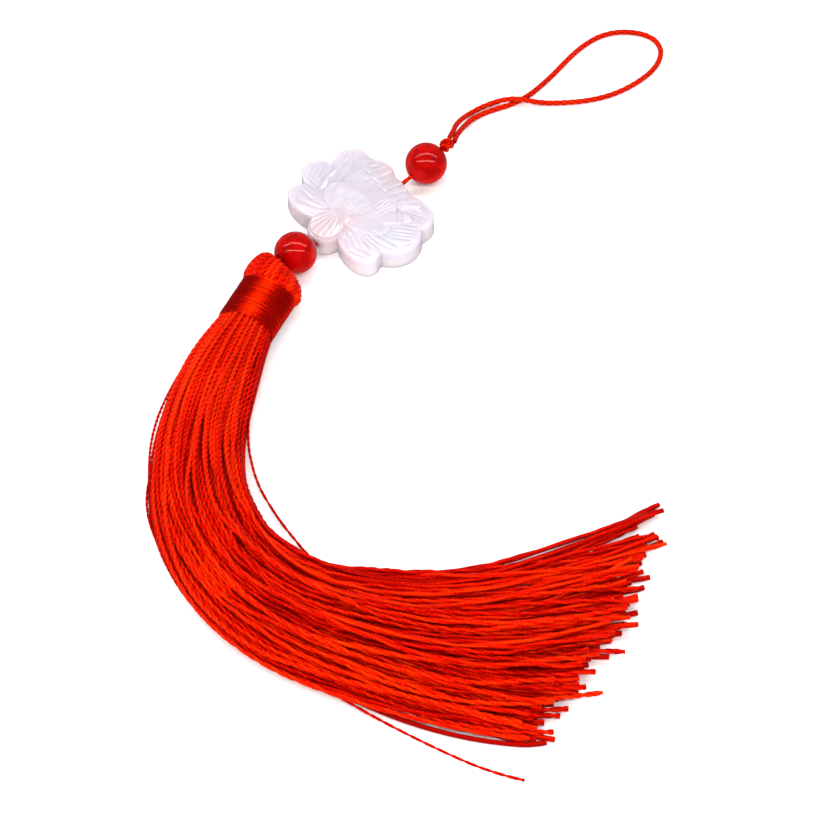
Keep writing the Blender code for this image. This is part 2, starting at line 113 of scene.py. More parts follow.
# Knot: two closed trefoil rings, each with the phase and the lift of its turns.
KNOT_RINGS = ((0.0, 0.28), (1.05, -0.28))
KNOT_FROM_BEAD = 7.0
KNOT_REACH = (0.82, 0.38)
KNOT_HEIGHT = 0.85
KNOT_POINTS = 90
KNOT_CORD_RADIUS = 0.00044
STRING_BEND_IN_BEAD = 4.4
STRING_BEND_IN_PLAQUE = 13.0
STRING_ABOVE_BEAD = 5.4
STRING_SPACING = 0.43
STRING_TWIST = 5.0
STRING_RADIUS = 0.0004
STRING_POINTS = 160
LOOP_POINTS = 400
LOOP_CLEARANCE = 0.02
BRAID_CROSSINGS = 4.0
BRAID_LENGTH = 0.0019

HEAD_TURN = math.radians(22.0)
HEAD_AXIS = (math.sin(HEAD_TURN), -math.cos(HEAD_TURN), 0.0)
HEAD_SIDEWAYS = (math.cos(HEAD_TURN), math.sin(HEAD_TURN), 0.0)
HEAD_FACE_TURN = math.radians(16.0)
HEAD_FACE_FADE = 5.0
HEAD_CREST_RISE = 0.9
HEAD_SIDES = 64
HEAD_CORE_INSET = 0.55

# Folded strands: depth under the surface, points, the rings where they end in turn, sway, shade
# (its least and what varies), and their thickness at some of the rings.
FOLD_INSET = 0.42
FOLD_POINTS = 44
FOLD_ENDS = (2.6, 0.9, 1.9, 3.3)
FOLD_SWAY = 0.05
FOLD_SHADE = (0.35, 0.65)
FOLD_RING_STEP = 0.0003
FOLD_GIRTH = ((0.0, 3.0, 5.0, 8.0), (0.6, 0.9, 1.1, 1.15))

NECK_HEIGHT = 5.3
NECK_START = 14.5
NECK_END = 24.4
NECK_LOWEST = 0.3
NECK_RINGS = 6
CORE_RINGS = 40
BINDING_START = 13.0
BINDING_END = 24.5
BINDING_HALF_WIDTH = 7.1
BINDING_HALF_HEIGHT = 5.4
BINDING_STEPS = 80
BINDING_LOWEST = 0.55
# Painted sheen round the winding, stored in the thread's shade: angle of each bright band, its sharpness
# and its strength.
BINDING_PAINTED_SHEEN = ((1.5, 14.0, 1.5), (0.0, 12.0, 1.0))

# Skirt: how its strands are placed over the section, how long they are, and where they taper.
LATTICE_REACH = 30
LATTICE_SHIFT = (0.02, 0.01)
LATTICE_DISC = 0.985
STRAND_STEP = 2.0
STRAND_REACH = 180.1
LONGEST_STRAND = 175.0
LENGTH_SPREAD = 2.2
EXTRA_LENGTH = (1.0, 4.5)
TRIM_READ_AT = 150.0
ROOT_LENGTH = 2.5
ROOT_SHARE = 0.82
ROOT_RUN = 16.0

# Slow drift of every strand: the lengths of its waves and its size, as a share of the half width
# and of the half height.
SIDEWAYS_WAVES = (150.0, 90.0)
SIDEWAYS_DRIFT = 0.07
UPWARD_WAVES = (120.0, 60.0)
UPWARD_DRIFT = 0.14

# A few strands drift towards the other side: their share, where they start, how far they go and
# the length of their way. The same share of the strands is cut longer than the rest.
FEW = 0.12
DRIFTER_START = (15.0, 90.0)
DRIFTER_SHIFT = (0.2, 0.5)
DRIFTER_RUN = 60.0

# Packing: how far strands that share a place are pushed apart, and how they sink to the floor.
BUNDLE_ROUNDNESS = 0.9
BUNDLE_EDGE = 0.965
PACKING_ROUNDS = 36
PACKING_SPACE = 0.88
PACKING_PUSH = 0.28
SETTLING = 0.012

# Top strands laid over their neighbours: how many, where they start, the length of their way, how
# far they go and may go, and in strands how near a neighbour counts and how high they ride.
CROSSING_STRANDS = 18
CROSSING_START = (2.0, 95.0)
CROSSING_RUN = (35.0, 60.0)
CROSSING_SHIFT = (0.1, 0.28)
CROSSING_LIMIT = 0.92
CROSSING_REACH = 0.9
CROSSING_RISE = 0.62

# Strands below this height in the bundle are hidden and made plainer, with longer steps.
UNDER_LEVEL = -0.28
UPPER_RING_STEP = 0.0004
UNDER_RING_STEP = 0.0014

# Shade of a strand: its least, what varies, and what its height in the bundle adds, which is painted
# shade on the strands lower down.
SKIRT_SHADE = (0.12, 0.7, 0.25)

# Thickness of a stray beside a whole strand, and the swelling of a strand's cut tip.
STRAY_THINNESS = 0.62
TIP_SWELL = 0.12

# The plies' turns differ by a share from strand to strand, and come apart towards the tips: the
# share of the turns that is lost, and the start and length of the stretch where they loosen.
PLY_UNEVENNESS = 0.16
LOOSE_SHARE = 0.8
LOOSE_START = 30.0
LOOSE_RUN = 50.0

# Petals of the plaque: middle x and y, half length, half width, heading in degrees, number of
# veins and depth of the veins.
OUTER_PETALS = (
    (-8.6, -7.5, 7.9, 4.5, 190.0, 7, 0.05), (-12.4, -1.2, 7.3, 4.8, 172.0, 6, 0.05),
    (-9.4, 5.2, 8.5, 5.7, 140.0, 6, 0.05), (-5.6, 7.6, 6.3, 6.0, 110.0, 6, 0.05),
    (1.2, 6.3, 7.4, 5.9, 160.0, 0, 0.0), (7.4, 5.9, 8.4, 5.8, 26.0, 7, 0.05),
    (9.8, 0.2, 8.0, 7.2, 20.0, 9, 0.05), (7.6, -7.6, 7.1, 4.4, -12.0, 6, 0.05),
    (-1.2, -10.1, 5.1, 4.5, -72.0, 6, 0.05),
)
INNER_PETALS = (
    (-10.4, 0.8, 6.6, 3.6, 118.0, 6, 0.09), (12.6, 2.0, 5.2, 4.6, 38.0, 0, 0.0),
    (10.6, -4.6, 6.0, 3.4, 12.0, 7, 0.1), (-8.2, 8.8, 2.8, 2.5, 118.0, 4, 0.06),
    (-4.4, 10.6, 2.6, 2.4, 100.0, 4, 0.06), (-0.4, 10.2, 2.5, 2.3, 88.0, 4, 0.06),
    (3.4, 9.4, 2.5, 2.3, 75.0, 4, 0.06), (7.4, 8.6, 3.2, 2.4, 58.0, 5, 0.07),
    (-4.4, 4.8, 5.4, 4.4, 108.0, 6, 0.05), (1.0, 5.4, 5.0, 4.4, 88.0, 7, 0.05),
    (0.2, -1.7, 5.6, 10.2, 92.0, 0, 0.0), (8.4, 2.4, 5.0, 2.0, 52.0, 0, 0.0),
    (4.8, 1.8, 5.0, 2.1, 76.0, 0, 0.0), (-1.1, -10.0, 4.3, 4.1, -84.0, 9, 0.11),
)

# Carved strokes on the flower: start x and y, end x and y, half width, depth (less than 0
# for a raised line).
STROKES = (
    (3.0, 5.0, 3.3, 1.0, 0.22, 0.16), (3.9, 5.1, 4.1, 1.3, 0.22, 0.16),
    (4.7, 5.0, 4.7, 1.6, 0.22, 0.14), (5.6, 4.2, 5.2, 0.0, 0.22, 0.16),
    (6.6, 4.0, 6.0, 0.3, 0.22, 0.16), (6.0, 6.2, 10.0, 2.6, 0.24, 0.16),
    (6.8, 6.9, 10.8, 3.4, 0.24, 0.14), (8.0, 7.0, 11.0, 9.0, 0.24, 0.16),
    (8.4, 6.2, 11.6, 8.1, 0.24, 0.14), (9.8, 1.8, 13.6, 5.7, 0.24, 0.17),
    (10.5, 1.0, 14.5, 5.0, 0.24, 0.17), (11.2, 0.3, 15.3, 4.2, 0.24, 0.17),
    (11.9, -0.4, 15.8, 3.3, 0.24, 0.17), (12.5, -1.2, 16.2, 2.3, 0.24, 0.16),
    (16.5, 2.0, 16.2, -3.0, 0.28, 0.15), (16.2, -3.0, 14.6, -6.0, 0.28, 0.15),
    (8.2, -5.2, 12.6, -4.4, 0.24, 0.16), (8.5, -6.0, 13.0, -5.4, 0.24, 0.16),
    (8.8, -6.9, 13.0, -6.5, 0.24, 0.16), (8.6, -3.6, 12.8, -2.6, 0.24, 0.14),
    (4.5, -9.5, 8.0, -11.3, 0.26, 0.17), (8.0, -11.3, 13.0, -9.5, 0.26, 0.17),
    (5.0, -8.0, 9.0, -9.6, 0.26, 0.15), (9.0, -9.6, 12.8, -8.2, 0.26, 0.15),
    (1.6, -14.0, 3.2, -10.8, 0.26, 0.16), (-13.5, -9.0, -11.0, -11.0, 0.26, 0.15),
    (-15.6, -4.0, -10.4, -4.2, 0.26, 0.15), (-15.0, -5.1, -9.8, -5.4, 0.26, 0.15),
    (-14.4, -6.3, -9.4, -6.6, 0.26, 0.15), (-13.8, -7.5, -9.0, -7.8, 0.26, 0.13),
    (-18.0, 1.0, -16.0, -3.0, 0.26, 0.15), (-17.1, 1.9, -14.7, -2.6, 0.26, 0.15),
    (-16.1, 2.5, -13.5, -2.0, 0.26, 0.15), (-15.0, 9.0, -13.8, 5.6, 0.26, 0.15),
    (-14.0, 9.4, -12.6, 5.8, 0.26, 0.14), (-12.2, 8.2, -10.0, 5.6, 0.26, 0.15),
    (-12.6, 3.6, -11.9, 0.0, 0.5, -0.3), (-11.9, 0.0, -10.4, -4.0, 0.5, -0.3),
    (-9.6, 9.4, -8.2, 11.2, 0.3, 0.16), (-7.4, 9.0, -6.6, 11.6, 0.3, 0.16),
    (-5.4, 8.8, -5.0, 12.2, 0.3, 0.16), (-3.2, 8.4, -3.1, 12.4, 0.3, 0.16),
    (-1.2, 8.2, -1.0, 12.2, 0.3, 0.16), (0.8, 8.0, 1.4, 11.8, 0.3, 0.16),
    (2.8, 7.6, 3.8, 11.0, 0.3, 0.16), (4.8, 7.2, 6.0, 10.4, 0.3, 0.16),
    (-7.6, 7.4, -5.0, 7.8, 0.3, 0.14), (-4.6, 7.0, -2.0, 7.2, 0.3, 0.14),
    (-1.4, 6.6, 1.2, 6.6, 0.3, 0.14), (-5.8, 5.6, -3.0, 5.9, 0.3, 0.12),
)
BOWL_STROKES = 17
BOWL_MIDDLE = -2.6
BOWL_HALF_WIDTH = 6.0
BOWL_STROKE_TOP = 1.3
BOWL_STROKE_LOW = -6.0
BOWL_NARROWING = 0.72
BOWL_TOP_FALL = 1.7
BOWL_LOW_RISE = 1.8
BOWL_STROKE_WIDTH = 0.2
BOWL_STROKE_CUT = 0.17

# Tinted places in the stone: x, y and height, reach, strength, and which tint.
STONE_TINTS = (
    ((-0.5, -12.5, 3.0), 9.0, 0.85, "warm"), ((1.0, -6.5, 6.5), 6.0, 0.5, "warm"),
    ((9.0, -12.5, 1.0), 9.0, 0.5, "warm"), ((-10.0, -11.0, 1.0), 8.0, 0.4, "warm"),
    ((-2.0, 12.0, 4.0), 7.0, 0.6, "warm"), ((-16.5, -2.0, 5.0), 8.0, 0.5, "cool"),
    ((13.5, -2.0, 6.0), 7.0, 0.6, "cool"), ((-9.0, 6.0, 6.0), 6.0, 0.35, "cool"),
)

# Folded-yarn head, from its face to its waist: distance from the lower bead's middle,
# half width, half height, height of the middle, and sideways shift of the dimple.
HEAD_RINGS = (
    (8.6, 0.6, 0.6, 6.2, -2.1), (7.6, 1.3, 1.2, 6.2, -2.0), (7.1, 2.6, 2.3, 6.0, -1.5),
    (6.7, 3.9, 3.3, 5.8, -0.8), (6.8, 5.5, 4.4, 5.6, -0.3), (7.5, 6.7, 5.1, 5.5, 0.0),
    (8.8, 7.4, 5.5, 5.5, 0.0), (10.4, 7.7, 5.7, 5.6, 0.0), (11.8, 7.5, 5.6, 5.5, 0.0),
    (12.5, 7.0, 5.2, 5.3, 0.0), (13.6, 6.3, 4.6, 5.3, 0.0),
)

# The skirt's course: distance along its middle, middle x and y, half width,
# half height, and how far the strands have settled on the floor (0 to 1).
SKIRT_SECTIONS = (
    (0.0, 9.15, -43.4, 6.7, 4.9, 0.0), (9.0, 12.8, -51.6, 9.0, 4.6, 0.35),
    (21.5, 19.0, -62.4, 9.6, 4.2, 0.8), (36.0, 28.4, -73.5, 10.5, 3.9, 1.0),
    (49.5, 39.4, -81.3, 11.6, 3.5, 1.0), (66.5, 55.8, -85.4, 12.9, 3.1, 1.0),
    (83.5, 72.4, -82.6, 14.3, 2.7, 1.0), (103.0, 89.4, -72.9, 16.8, 2.3, 1.0),
    (125.0, 106.0, -58.6, 21.6, 1.9, 1.0), (155.0, 124.2, -35.0, 29.2, 1.5, 1.0),
    (176.0, 135.0, -17.2, 35.0, 1.3, 1.0),
)

# Where the strands are cut: place across the bundle (-1 outer edge, 1 inner edge) and the
# distance along the skirt's middle that their tips reach there.
TRIM_LINE = (
    (-1.0, 132.0), (-0.65, 136.0), (-0.3, 143.0), (0.0, 151.0), (0.35, 157.5), (0.65, 165.5),
    (1.0, 170.5),
)

# Strands that stray from the bundle: side (1 inner, -1 outer), start and end of the
# stretch where one stands off, and how far it stands off.
STRAYS = (
    (1.0, 14.0, 96.0, 3.4), (-1.0, 8.0, 46.0, 1.4), (-1.0, 92.0, 190.0, 7.6),
    (-1.0, 28.0, 64.0, 2.3),
)

# The hanging loop's route from the knot, round and back to the knot.
LOOP_ROUTE = (
    (-1.05, 29.45, 7.15), (-2.5, 31.9, 6.2), (-4.7, 34.9, 4.3), (-6.5, 38.5, 2.4),
    (-7.4, 42.4, 0.95), (-7.2, 45.9, 0.65), (-6.2, 48.9, 0.95), (-4.7, 51.3, 1.55),
    (-2.9, 53.3, 1.95), (-1.0, 55.3, 1.6), (1.0, 57.4, 1.0), (3.3, 60.0, 0.6), (6.0, 63.3, 0.5),
    (8.9, 67.7, 0.5), (11.0, 72.1, 0.5), (12.3, 76.9, 0.5), (12.8, 82.0, 0.5), (12.5, 86.7, 0.5),
    (11.2, 90.6, 0.5), (9.0, 93.4, 0.5), (6.1, 94.7, 0.5), (2.9, 94.3, 0.5), (-0.2, 92.4, 0.5),
    (-2.9, 89.4, 0.5), (-4.6, 85.7, 0.5), (-5.2, 81.2, 0.5), (-4.9, 76.0, 0.5), (-4.1, 71.4, 0.5),
    (-3.2, 66.8, 0.5), (-2.6, 62.3, 0.5), (-2.3, 58.4, 0.5), (-2.5, 55.0, 0.5), (-3.2, 51.6, 0.5),
    (-4.4, 48.2, 0.5), (-5.4, 44.7, 0.5), (-5.6, 41.3, 0.95), (-4.6, 38.0, 2.1), (-2.8, 34.4, 4.0),
    (-0.9, 31.4, 5.8), (0.45, 29.65, 6.7),
)


# Curves and meshes


def smooth_rows(table, along):
    """Rows of a table whose first column rises, on one smooth curve, at many distances."""
    rows = np.array(table, float)
    keys = rows[:, 0]
    slopes = np.gradient(rows, keys, axis=0)
    along = np.asarray(along, float)
    index = np.clip(np.searchsorted(keys, along) - 1, 0, len(keys) - 2)
    span = (keys[index + 1] - keys[index])[:, None]
    t = (along - keys[index])[:, None] / span
    return (
        (2 * t**3 - 3 * t**2 + 1) * rows[index]
        + (t**3 - 2 * t**2 + t) * span * slopes[index]
        + (3 * t**2 - 2 * t**3) * rows[index + 1]
        + (t**3 - t**2) * span * slopes[index + 1]
    )


def ease(value):
    """A smooth step from 0 to 1."""
    value = np.clip(value, 0.0, 1.0)
    return value * value * (3.0 - 2.0 * value)


def even_points(route, count, lowest=None):
    """Points at even steps along one smooth curve through a route."""
    route = np.array(route, float)
    steps = np.linalg.norm(np.diff(route, axis=0), axis=1)
    keys = np.concatenate(([0.0], np.cumsum(steps)))
    fine = smooth_rows(np.column_stack((keys, route)), np.linspace(0.0, keys[-1], 1200))[:, 1:]
    if lowest is not None:
        fine[:, 2] = np.maximum(fine[:, 2], lowest)
    lengths = np.concatenate(([0.0], np.cumsum(np.linalg.norm(np.diff(fine, axis=0), axis=1))))
    wanted = np.linspace(0.0, lengths[-1], count)
    return np.stack([np.interp(wanted, lengths, fine[:, axis]) for axis in range(3)], axis=1)


def round_angles(sides):
    """Angles at even steps once round."""
    return np.arange(sides) * TAU / sides


def mesh_from_points(name, points, faces):
    """A smooth mesh from points in millimetres."""
    mesh = bpy.data.meshes.new(name)
    mesh.from_pydata((np.asarray(points, float) * MM).tolist(), [], faces)
    mesh.validate()
    mesh.update()
    mesh.shade_smooth()
    return mesh


def signed_volume(mesh):
    """Volume inside a mesh, negative where its faces point inwards."""
    mesh.calc_loop_triangles()
    corners = np.zeros(len(mesh.loop_triangles) * 3, np.int32)
    mesh.loop_triangles.foreach_get("vertices", corners)
    places = np.zeros(len(mesh.vertices) * 3)
    mesh.vertices.foreach_get("co", places)
    a, b, c = (places.reshape(-1, 3)[corners.reshape(-1, 3)[:, k]] for k in range(3))
    return float((a * np.cross(b, c)).sum() / 6.0)


def finish_piece(name, mesh, material, node):
    """Put a finished mesh in the scene, facing out, riding on the pendant."""
    if signed_volume(mesh) < 0.0:
        mesh.flip_normals()
    mesh.name = name
    if not mesh.materials:
        mesh.materials.append(material)
    piece = bpy.data.objects.new(name, mesh)
    bpy.context.scene.collection.objects.link(piece)
    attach(piece, "root")
    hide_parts(node)
    return piece


def ring_faces(rings, sides, poles=True):
    """Faces that skin rings of points: capped by two poles that follow them, or closed on itself."""
    faces = []
    for k in range(rings - 1 if poles else rings):
        low = k * sides
        high = (k + 1) % rings * sides
        for i in range(sides):
            j = (i + 1) % sides
            faces.append((low + i, low + j, high + j, high + i))
    if poles:
        last = (rings - 1) * sides
        pairs = [(i, (i + 1) % sides) for i in range(sides)]
        faces += [(j, i, rings * sides) for i, j in pairs]
        faces += [(last + i, last + j, rings * sides + 1) for i, j in pairs]
    return faces


# Node helpers


def add_node(tree, kind, values=None, output=0, **settings):
    """An output of a node with its settings and the values of its sockets, by name or number."""
    node = tree.nodes.new(kind)
    for key, value in settings.items():
        setattr(node, key, value)
    for key, value in (values or {}).items():
        if isinstance(value, bpy.types.NodeSocket):
            tree.links.new(value, node.inputs[key])
        else:
            node.inputs[key].default_value = value
    return node.outputs[output]


def maths(tree, operation, first, second=0.0, third=0.0):
    """The result of one arithmetic node."""
    return add_node(tree, "ShaderNodeMath", {0: first, 1: second, 2: third}, operation=operation)


def times(tree, *values):
    """Values multiplied with each other, the first two first."""
    result = values[0]
    for value in values[1:]:
        result = maths(tree, "MULTIPLY", result, value)
    return result


def vectors(tree, operation, values, output=0):
    """The result of one vector node."""
    return add_node(tree, "ShaderNodeVectorMath", values, output, operation=operation)


def parts_of(tree, vector):
    """The three parts of a vector."""
    return add_node(tree, "ShaderNodeSeparateXYZ", {0: vector}).node.outputs


def noise(tree, place, scale, detail, roughness=0.5, distortion=0.0):
    """Soft noise in space."""
    values = {"Vector": place, "Scale": scale, "Detail": detail}
    values.update({"Roughness": roughness, "Distortion": distortion})
    return add_node(tree, "ShaderNodeTexNoise", values, "Fac")


def noise_along(tree, distance, rate, detail):
    """Soft noise along a line."""
    values = {"W": times(tree, distance, rate), "Scale": 1.0, "Detail": detail}
    return add_node(tree, "ShaderNodeTexNoise", values, noise_dimensions="1D")


def new_material(name, colour, roughness, **sockets):
    """A Principled material with constants on the shader's own sockets."""
    material = bpy.data.materials.new(name)
    material.use_nodes = True
    tree = material.node_tree
    shader = tree.nodes["Principled BSDF"]
    shader.inputs["Base Color"].default_value = (*colour, 1.0)
    shader.inputs["Roughness"].default_value = roughness
    for key, value in sockets.items():
        shader.inputs[key.replace("_", " ")].default_value = value
    return material, tree, shader


def object_place(tree):
    """Object coordinates."""
    return add_node(tree, "ShaderNodeTexCoord", output="Object")


def bumped(tree, shader, height, distance, strength):
    """Bump from a height between 0 and 1, with its real depth in metres."""
    values = {"Height": height, "Strength": strength, "Distance": distance}
    tree.links.new(add_node(tree, "ShaderNodeBump", values, "Normal"), shader.inputs["Normal"])


def mixed_colour(tree, share, first, second):
    """A colour between two, by a share."""
    values = {0: share}
    for key, colour in ((6, first), (7, second)):
        plain = not isinstance(colour, bpy.types.NodeSocket)
        values[key] = (*colour[:3], 1.0) if plain else colour
    return add_node(tree, "ShaderNodeMix", values, 2, data_type="RGBA")


def remapped(tree, value, low, high, to_low=0.0, to_high=1.0, smooth=False):
    """A value moved from one range to another and held inside it."""
    values = {"Value": value, "From Min": low, "From Max": high, "To Min": to_low, "To Max": to_high}
    kind = "SMOOTHSTEP" if smooth else "LINEAR"
    return add_node(tree, "ShaderNodeMapRange", values, "Result", interpolation_type=kind)


def attribute(tree, name):
    """A number that the mesh carries."""
    return add_node(tree, "ShaderNodeAttribute", output="Fac", attribute_name=name)


# Materials


def yarn_material(name, lit, deep, roughness, fibre_scale, metal=0.15, ply=0.0):
    """Silky twisted yarn: strand by strand shades that hold painted shade too, painted glints, fine
    fibres and a soft sheen.
    """
    material, tree, shader = new_material(
        name,
        lit,
        roughness,
        Metallic=metal,
        Specular_IOR_Level=0.5,
        Specular_Tint=(1.0, 0.05, 0.01, 1.0),
        Sheen_Weight=0.08,
        Sheen_Roughness=0.4,
        Sheen_Tint=(1.0, 0.03, 0.005, 1.0),
    )
    place = object_place(tree)
    fibres = noise(tree, place, fibre_scale, 3.0, 0.6)
    patches = noise(tree, place, 90.0, 2.0)
    shade = maths(
        tree, "ADD", times(tree, attribute(tree, "shade"), 0.6), times(tree, patches, 0.4)
    )
    shade = maths(tree, "ADD", shade, times(tree, maths(tree, "SUBTRACT", fibres, 0.5), 2.0))
    # Painted shade in the grooves between the plies, painted lighter on their crests.
    if ply:
        painted_groove_shade = maths(tree, "SUBTRACT", attribute(tree, "crest"), 0.5)
        shade = maths(tree, "MULTIPLY_ADD", painted_groove_shade, ply, shade)
    # The mix of lit and deep reds paints light and shade along with each strand's own tone; the glint
    # colour is a painted highlight on the brightest places.
    colour = mixed_colour(tree, remapped(tree, shade, 0.28, 0.72), deep, lit)
    glint = [min(1.0, lit[0] * 1.3), lit[1] * 3.0 + 0.034, lit[2] * 2.0]
    colour = mixed_colour(tree, remapped(tree, shade, 0.66, 1.15), colour, glint)
    tree.links.new(colour, shader.inputs["Base Color"])
    bumped(tree, shader, fibres, 0.00012, 0.6)
    return material


def bead_material(colour):
    """Polished, slightly clear red stone with faint clouds, and a painted glow low down for light passing
    through.
    """
    material, tree, shader = new_material(
        "red_bead_polished",
        colour,
        0.04,
        IOR=1.54,
        Specular_IOR_Level=0.32,
        Specular_Tint=(1.0, 0.55, 0.5, 1.0),
        Subsurface_Weight=0.9,
        Subsurface_Scale=0.004,
        Subsurface_Radius=(1.0, 0.05, 0.03),
    )
    place = object_place(tree)
    clouds = noise(tree, place, 300.0, 4.0, 0.6, 0.8)
    share = remapped(tree, clouds, 0.38, 0.62, smooth=True)
    # Painted light: the bead is painted brighter low down, for light passing through it.
    glow = remapped(tree, parts_of(tree, place)[2], 8.5 * MM, 1.5 * MM, smooth=True)
    share = maths(tree, "MULTIPLY_ADD", glow, 0.6, times(tree, share, 0.4))
    dark = [value * 0.62 for value in colour]
    bright = (colour[0] * 1.52, colour[1] * 3.0, colour[2] * 2.0)
    tree.links.new(mixed_colour(tree, share, dark, bright), shader.inputs["Base Color"])
    return material


def stone_material(pale, warm, cool, wall):
    """Milky polished stone, lavender with warm and cool drifts and walls painted paler low down, as
    painted light glowing through the stone.
    """
    material, tree, shader = new_material(
        "milky_carved_stone",
        pale,
        0.16,
        IOR=1.54,
        Subsurface_Weight=1.0,
        Subsurface_Scale=0.007,
        Subsurface_Radius=(1.0, 0.9, 0.95),
        Coat_Weight=0.35,
        Coat_Roughness=0.06,
    )
    place = object_place(tree)
    cloudy = remapped(tree, noise(tree, place, 60.0, 3.0, distortion=1.2), 0.35, 0.7, smooth=True)
    colour = mixed_colour(tree, cloudy, pale, [value * 1.08 for value in pale])
    for spot, reach, strength, tint in STONE_TINTS:
        values = {0: place, 1: [value * MM for value in spot]}
        far = vectors(tree, "DISTANCE", values, "Value")
        share = remapped(tree, far, reach * MM, 0.0, 0.0, strength, smooth=True)
        colour = mixed_colour(tree, share, colour, warm if tint == "warm" else cool)
    # Painted light: the walls are painted paler low down, for light glowing through the stone.
    low = remapped(tree, parts_of(tree, place)[2], 5.0 * MM, 2.0 * MM, 0.0, 0.6, smooth=True)
    colour = mixed_colour(tree, low, colour, wall)
    tree.links.new(colour, shader.inputs["Base Color"])
    bumped(tree, shader, noise(tree, place, 900.0, 2.0), 0.00002, 0.5)
    return material


def once(name, *values):
    """A yarn material, made the first time that it is asked for."""
    return bpy.data.materials.get(name) or yarn_material(name, *values)


def silk_finish(yarn):
    """The finish of the skirt's and the head's yarn."""
    return once("red_silk_yarn", yarn.lit, yarn.deep, 0.38, 4200.0, 0.15, 0.3)


def cord_finish(cord):
    """The finish of the braided cord."""
    return once("braided_red_cord", cord.lit, cord.deep, 0.42, 5200.0)


# Geometry Nodes


def new_tree(name, **inputs):
    """A geometry tree with a geometry in and out, named inputs for its sizes, and a finish."""
    tree = bpy.data.node_groups.new(name, "GeometryNodeTree")
    tree.interface.new_socket("Geometry", in_out="OUTPUT", socket_type="NodeSocketGeometry")
    tree.interface.new_socket("Paths", in_out="INPUT", socket_type="NodeSocketGeometry")
    for kind, labels in (*inputs.items(), ("Material", ("Finish",))):
        for label in labels:
            tree.interface.new_socket(label, in_out="INPUT", socket_type="NodeSocket" + kind)
    return tree, tree.nodes.new("NodeGroupInput").outputs


def close_tree(tree, geometry, material):
    """Smooth shading, real geometry and the finish, then out."""
    smooth = add_node(tree, "GeometryNodeSetShadeSmooth", {"Geometry": geometry})
    real = add_node(tree, "GeometryNodeRealizeInstances", {"Geometry": smooth})
    done = add_node(tree, "GeometryNodeSetMaterial", {"Geometry": real, "Material": material})
    tree.links.new(done, tree.nodes.new("NodeGroupOutput").inputs[0])
    return tree


def named(tree, name):
    """A number that the points carry."""
    return add_node(tree, "GeometryNodeInputNamedAttribute", {"Name": name}, data_type="FLOAT")


def stored(tree, geometry, name, value):
    """Geometry whose points carry a number."""
    values = {"Geometry": geometry, "Name": name, "Value": value}
    kind = "GeometryNodeStoreNamedAttribute"
    return add_node(tree, kind, values, data_type="FLOAT", domain="POINT")


def shifted(tree, geometry, **place):
    """Geometry with its points moved to a position or by an offset."""
    return add_node(tree, "GeometryNodeSetPosition", {"Geometry": geometry, **place})


def transformed(tree, geometry, **change):
    """Geometry turned or scaled as a whole."""
    return add_node(tree, "GeometryNodeTransform", {"Geometry": geometry, **change})


def circle(tree, sides, radius=1.0):
    """A flat ring of points."""
    values = {"Resolution": sides, "Radius": radius}
    return add_node(tree, "GeometryNodeCurvePrimitiveCircle", values)


def even_curve(tree, paths, step):
    """The paths as curves with points at even steps."""
    curve = add_node(tree, "GeometryNodeMeshToCurve", {"Mesh": paths})
    values = {"Curve": curve, "Length": step}
    return add_node(tree, "GeometryNodeResampleCurve", values, mode="LENGTH")


def tube_along(tree, curve, section, girth=1.0):
    """A capped tube of one section along curves."""
    values = {"Curve": curve, "Profile Curve": section, "Scale": girth, "Fill Caps": True}
    return add_node(tree, "GeometryNodeCurveToMesh", values)


def two_ply_yarn():
    """Two-ply yarn along paths: a section of two lobes with a waist, which turns as it goes."""
    sizes = ("Ply turn", "Ring step", "Lobe height", "Waist height")
    tree, given = new_tree("two_ply_yarn", Float=sizes)
    curve = even_curve(tree, given["Paths"], given["Ring step"])
    length = add_node(tree, "GeometryNodeSplineParameter", output="Length")
    turn = times(tree, maths(tree, "DIVIDE", length, given["Ply turn"]), TAU)
    tilt = maths(tree, "ADD", turn, named(tree, "phase"))
    curve = add_node(tree, "GeometryNodeSetCurveTilt", {"Curve": curve, "Tilt": tilt})
    ring = transformed(tree, circle(tree, 6), Rotation=(0.0, 0.0, math.radians(30.0)))
    spot = parts_of(tree, add_node(tree, "GeometryNodeInputPosition"))
    crest = times(tree, maths(tree, "ABSOLUTE", spot[0]), 1.0 / math.cos(math.radians(30.0)))
    rise = maths(tree, "SUBTRACT", given["Lobe height"], given["Waist height"])
    tall = maths(tree, "MULTIPLY_ADD", crest, rise, given["Waist height"])
    values = {"X": spot[0], "Y": times(tree, spot[1], tall), "Z": 0.0}
    place = add_node(tree, "ShaderNodeCombineXYZ", values)
    section = shifted(tree, stored(tree, ring, "crest", crest), Position=place)
    return close_tree(tree, tube_along(tree, curve, section, named(tree, "girth")), given["Finish"])


def braided_cord():
    """Round braided cord along paths, its surface raised where the braid's threads cross, with painted
    shade in the valleys between them.
    """
    sizes = ("Ring step", "Crossings around", "Crossing length", "Relief")
    tree, given = new_tree("braided_cord", Int=("Sides",), Float=sizes)
    curve = even_curve(tree, given["Paths"], given["Ring step"])
    parameter = add_node(tree, "GeometryNodeSplineParameter").node.outputs
    curve = stored(tree, curve, "along", parameter["Length"])
    ring = stored(tree, circle(tree, given["Sides"]), "around", parameter["Factor"])
    tube = tube_along(tree, curve, ring, named(tree, "girth"))
    turned = times(tree, named(tree, "around"), given["Crossings around"], TAU)
    run = times(tree, maths(tree, "DIVIDE", named(tree, "along"), given["Crossing length"]), TAU)
    left = maths(tree, "COSINE", maths(tree, "ADD", turned, run))
    right = maths(tree, "COSINE", maths(tree, "SUBTRACT", turned, run))
    crest = maths(tree, "MAXIMUM", left, right)
    # Painted shade: the braid's valleys are painted darker than its crests.
    tube = stored(tree, tube, "shade", maths(tree, "MULTIPLY_ADD", crest, 0.9, 0.15))
    values = {0: add_node(tree, "GeometryNodeInputNormal"), "Scale": times(tree, crest, given["Relief"])}
    tube = shifted(tree, tube, Offset=vectors(tree, "SCALE", values))
    return close_tree(tree, tube, given["Finish"])


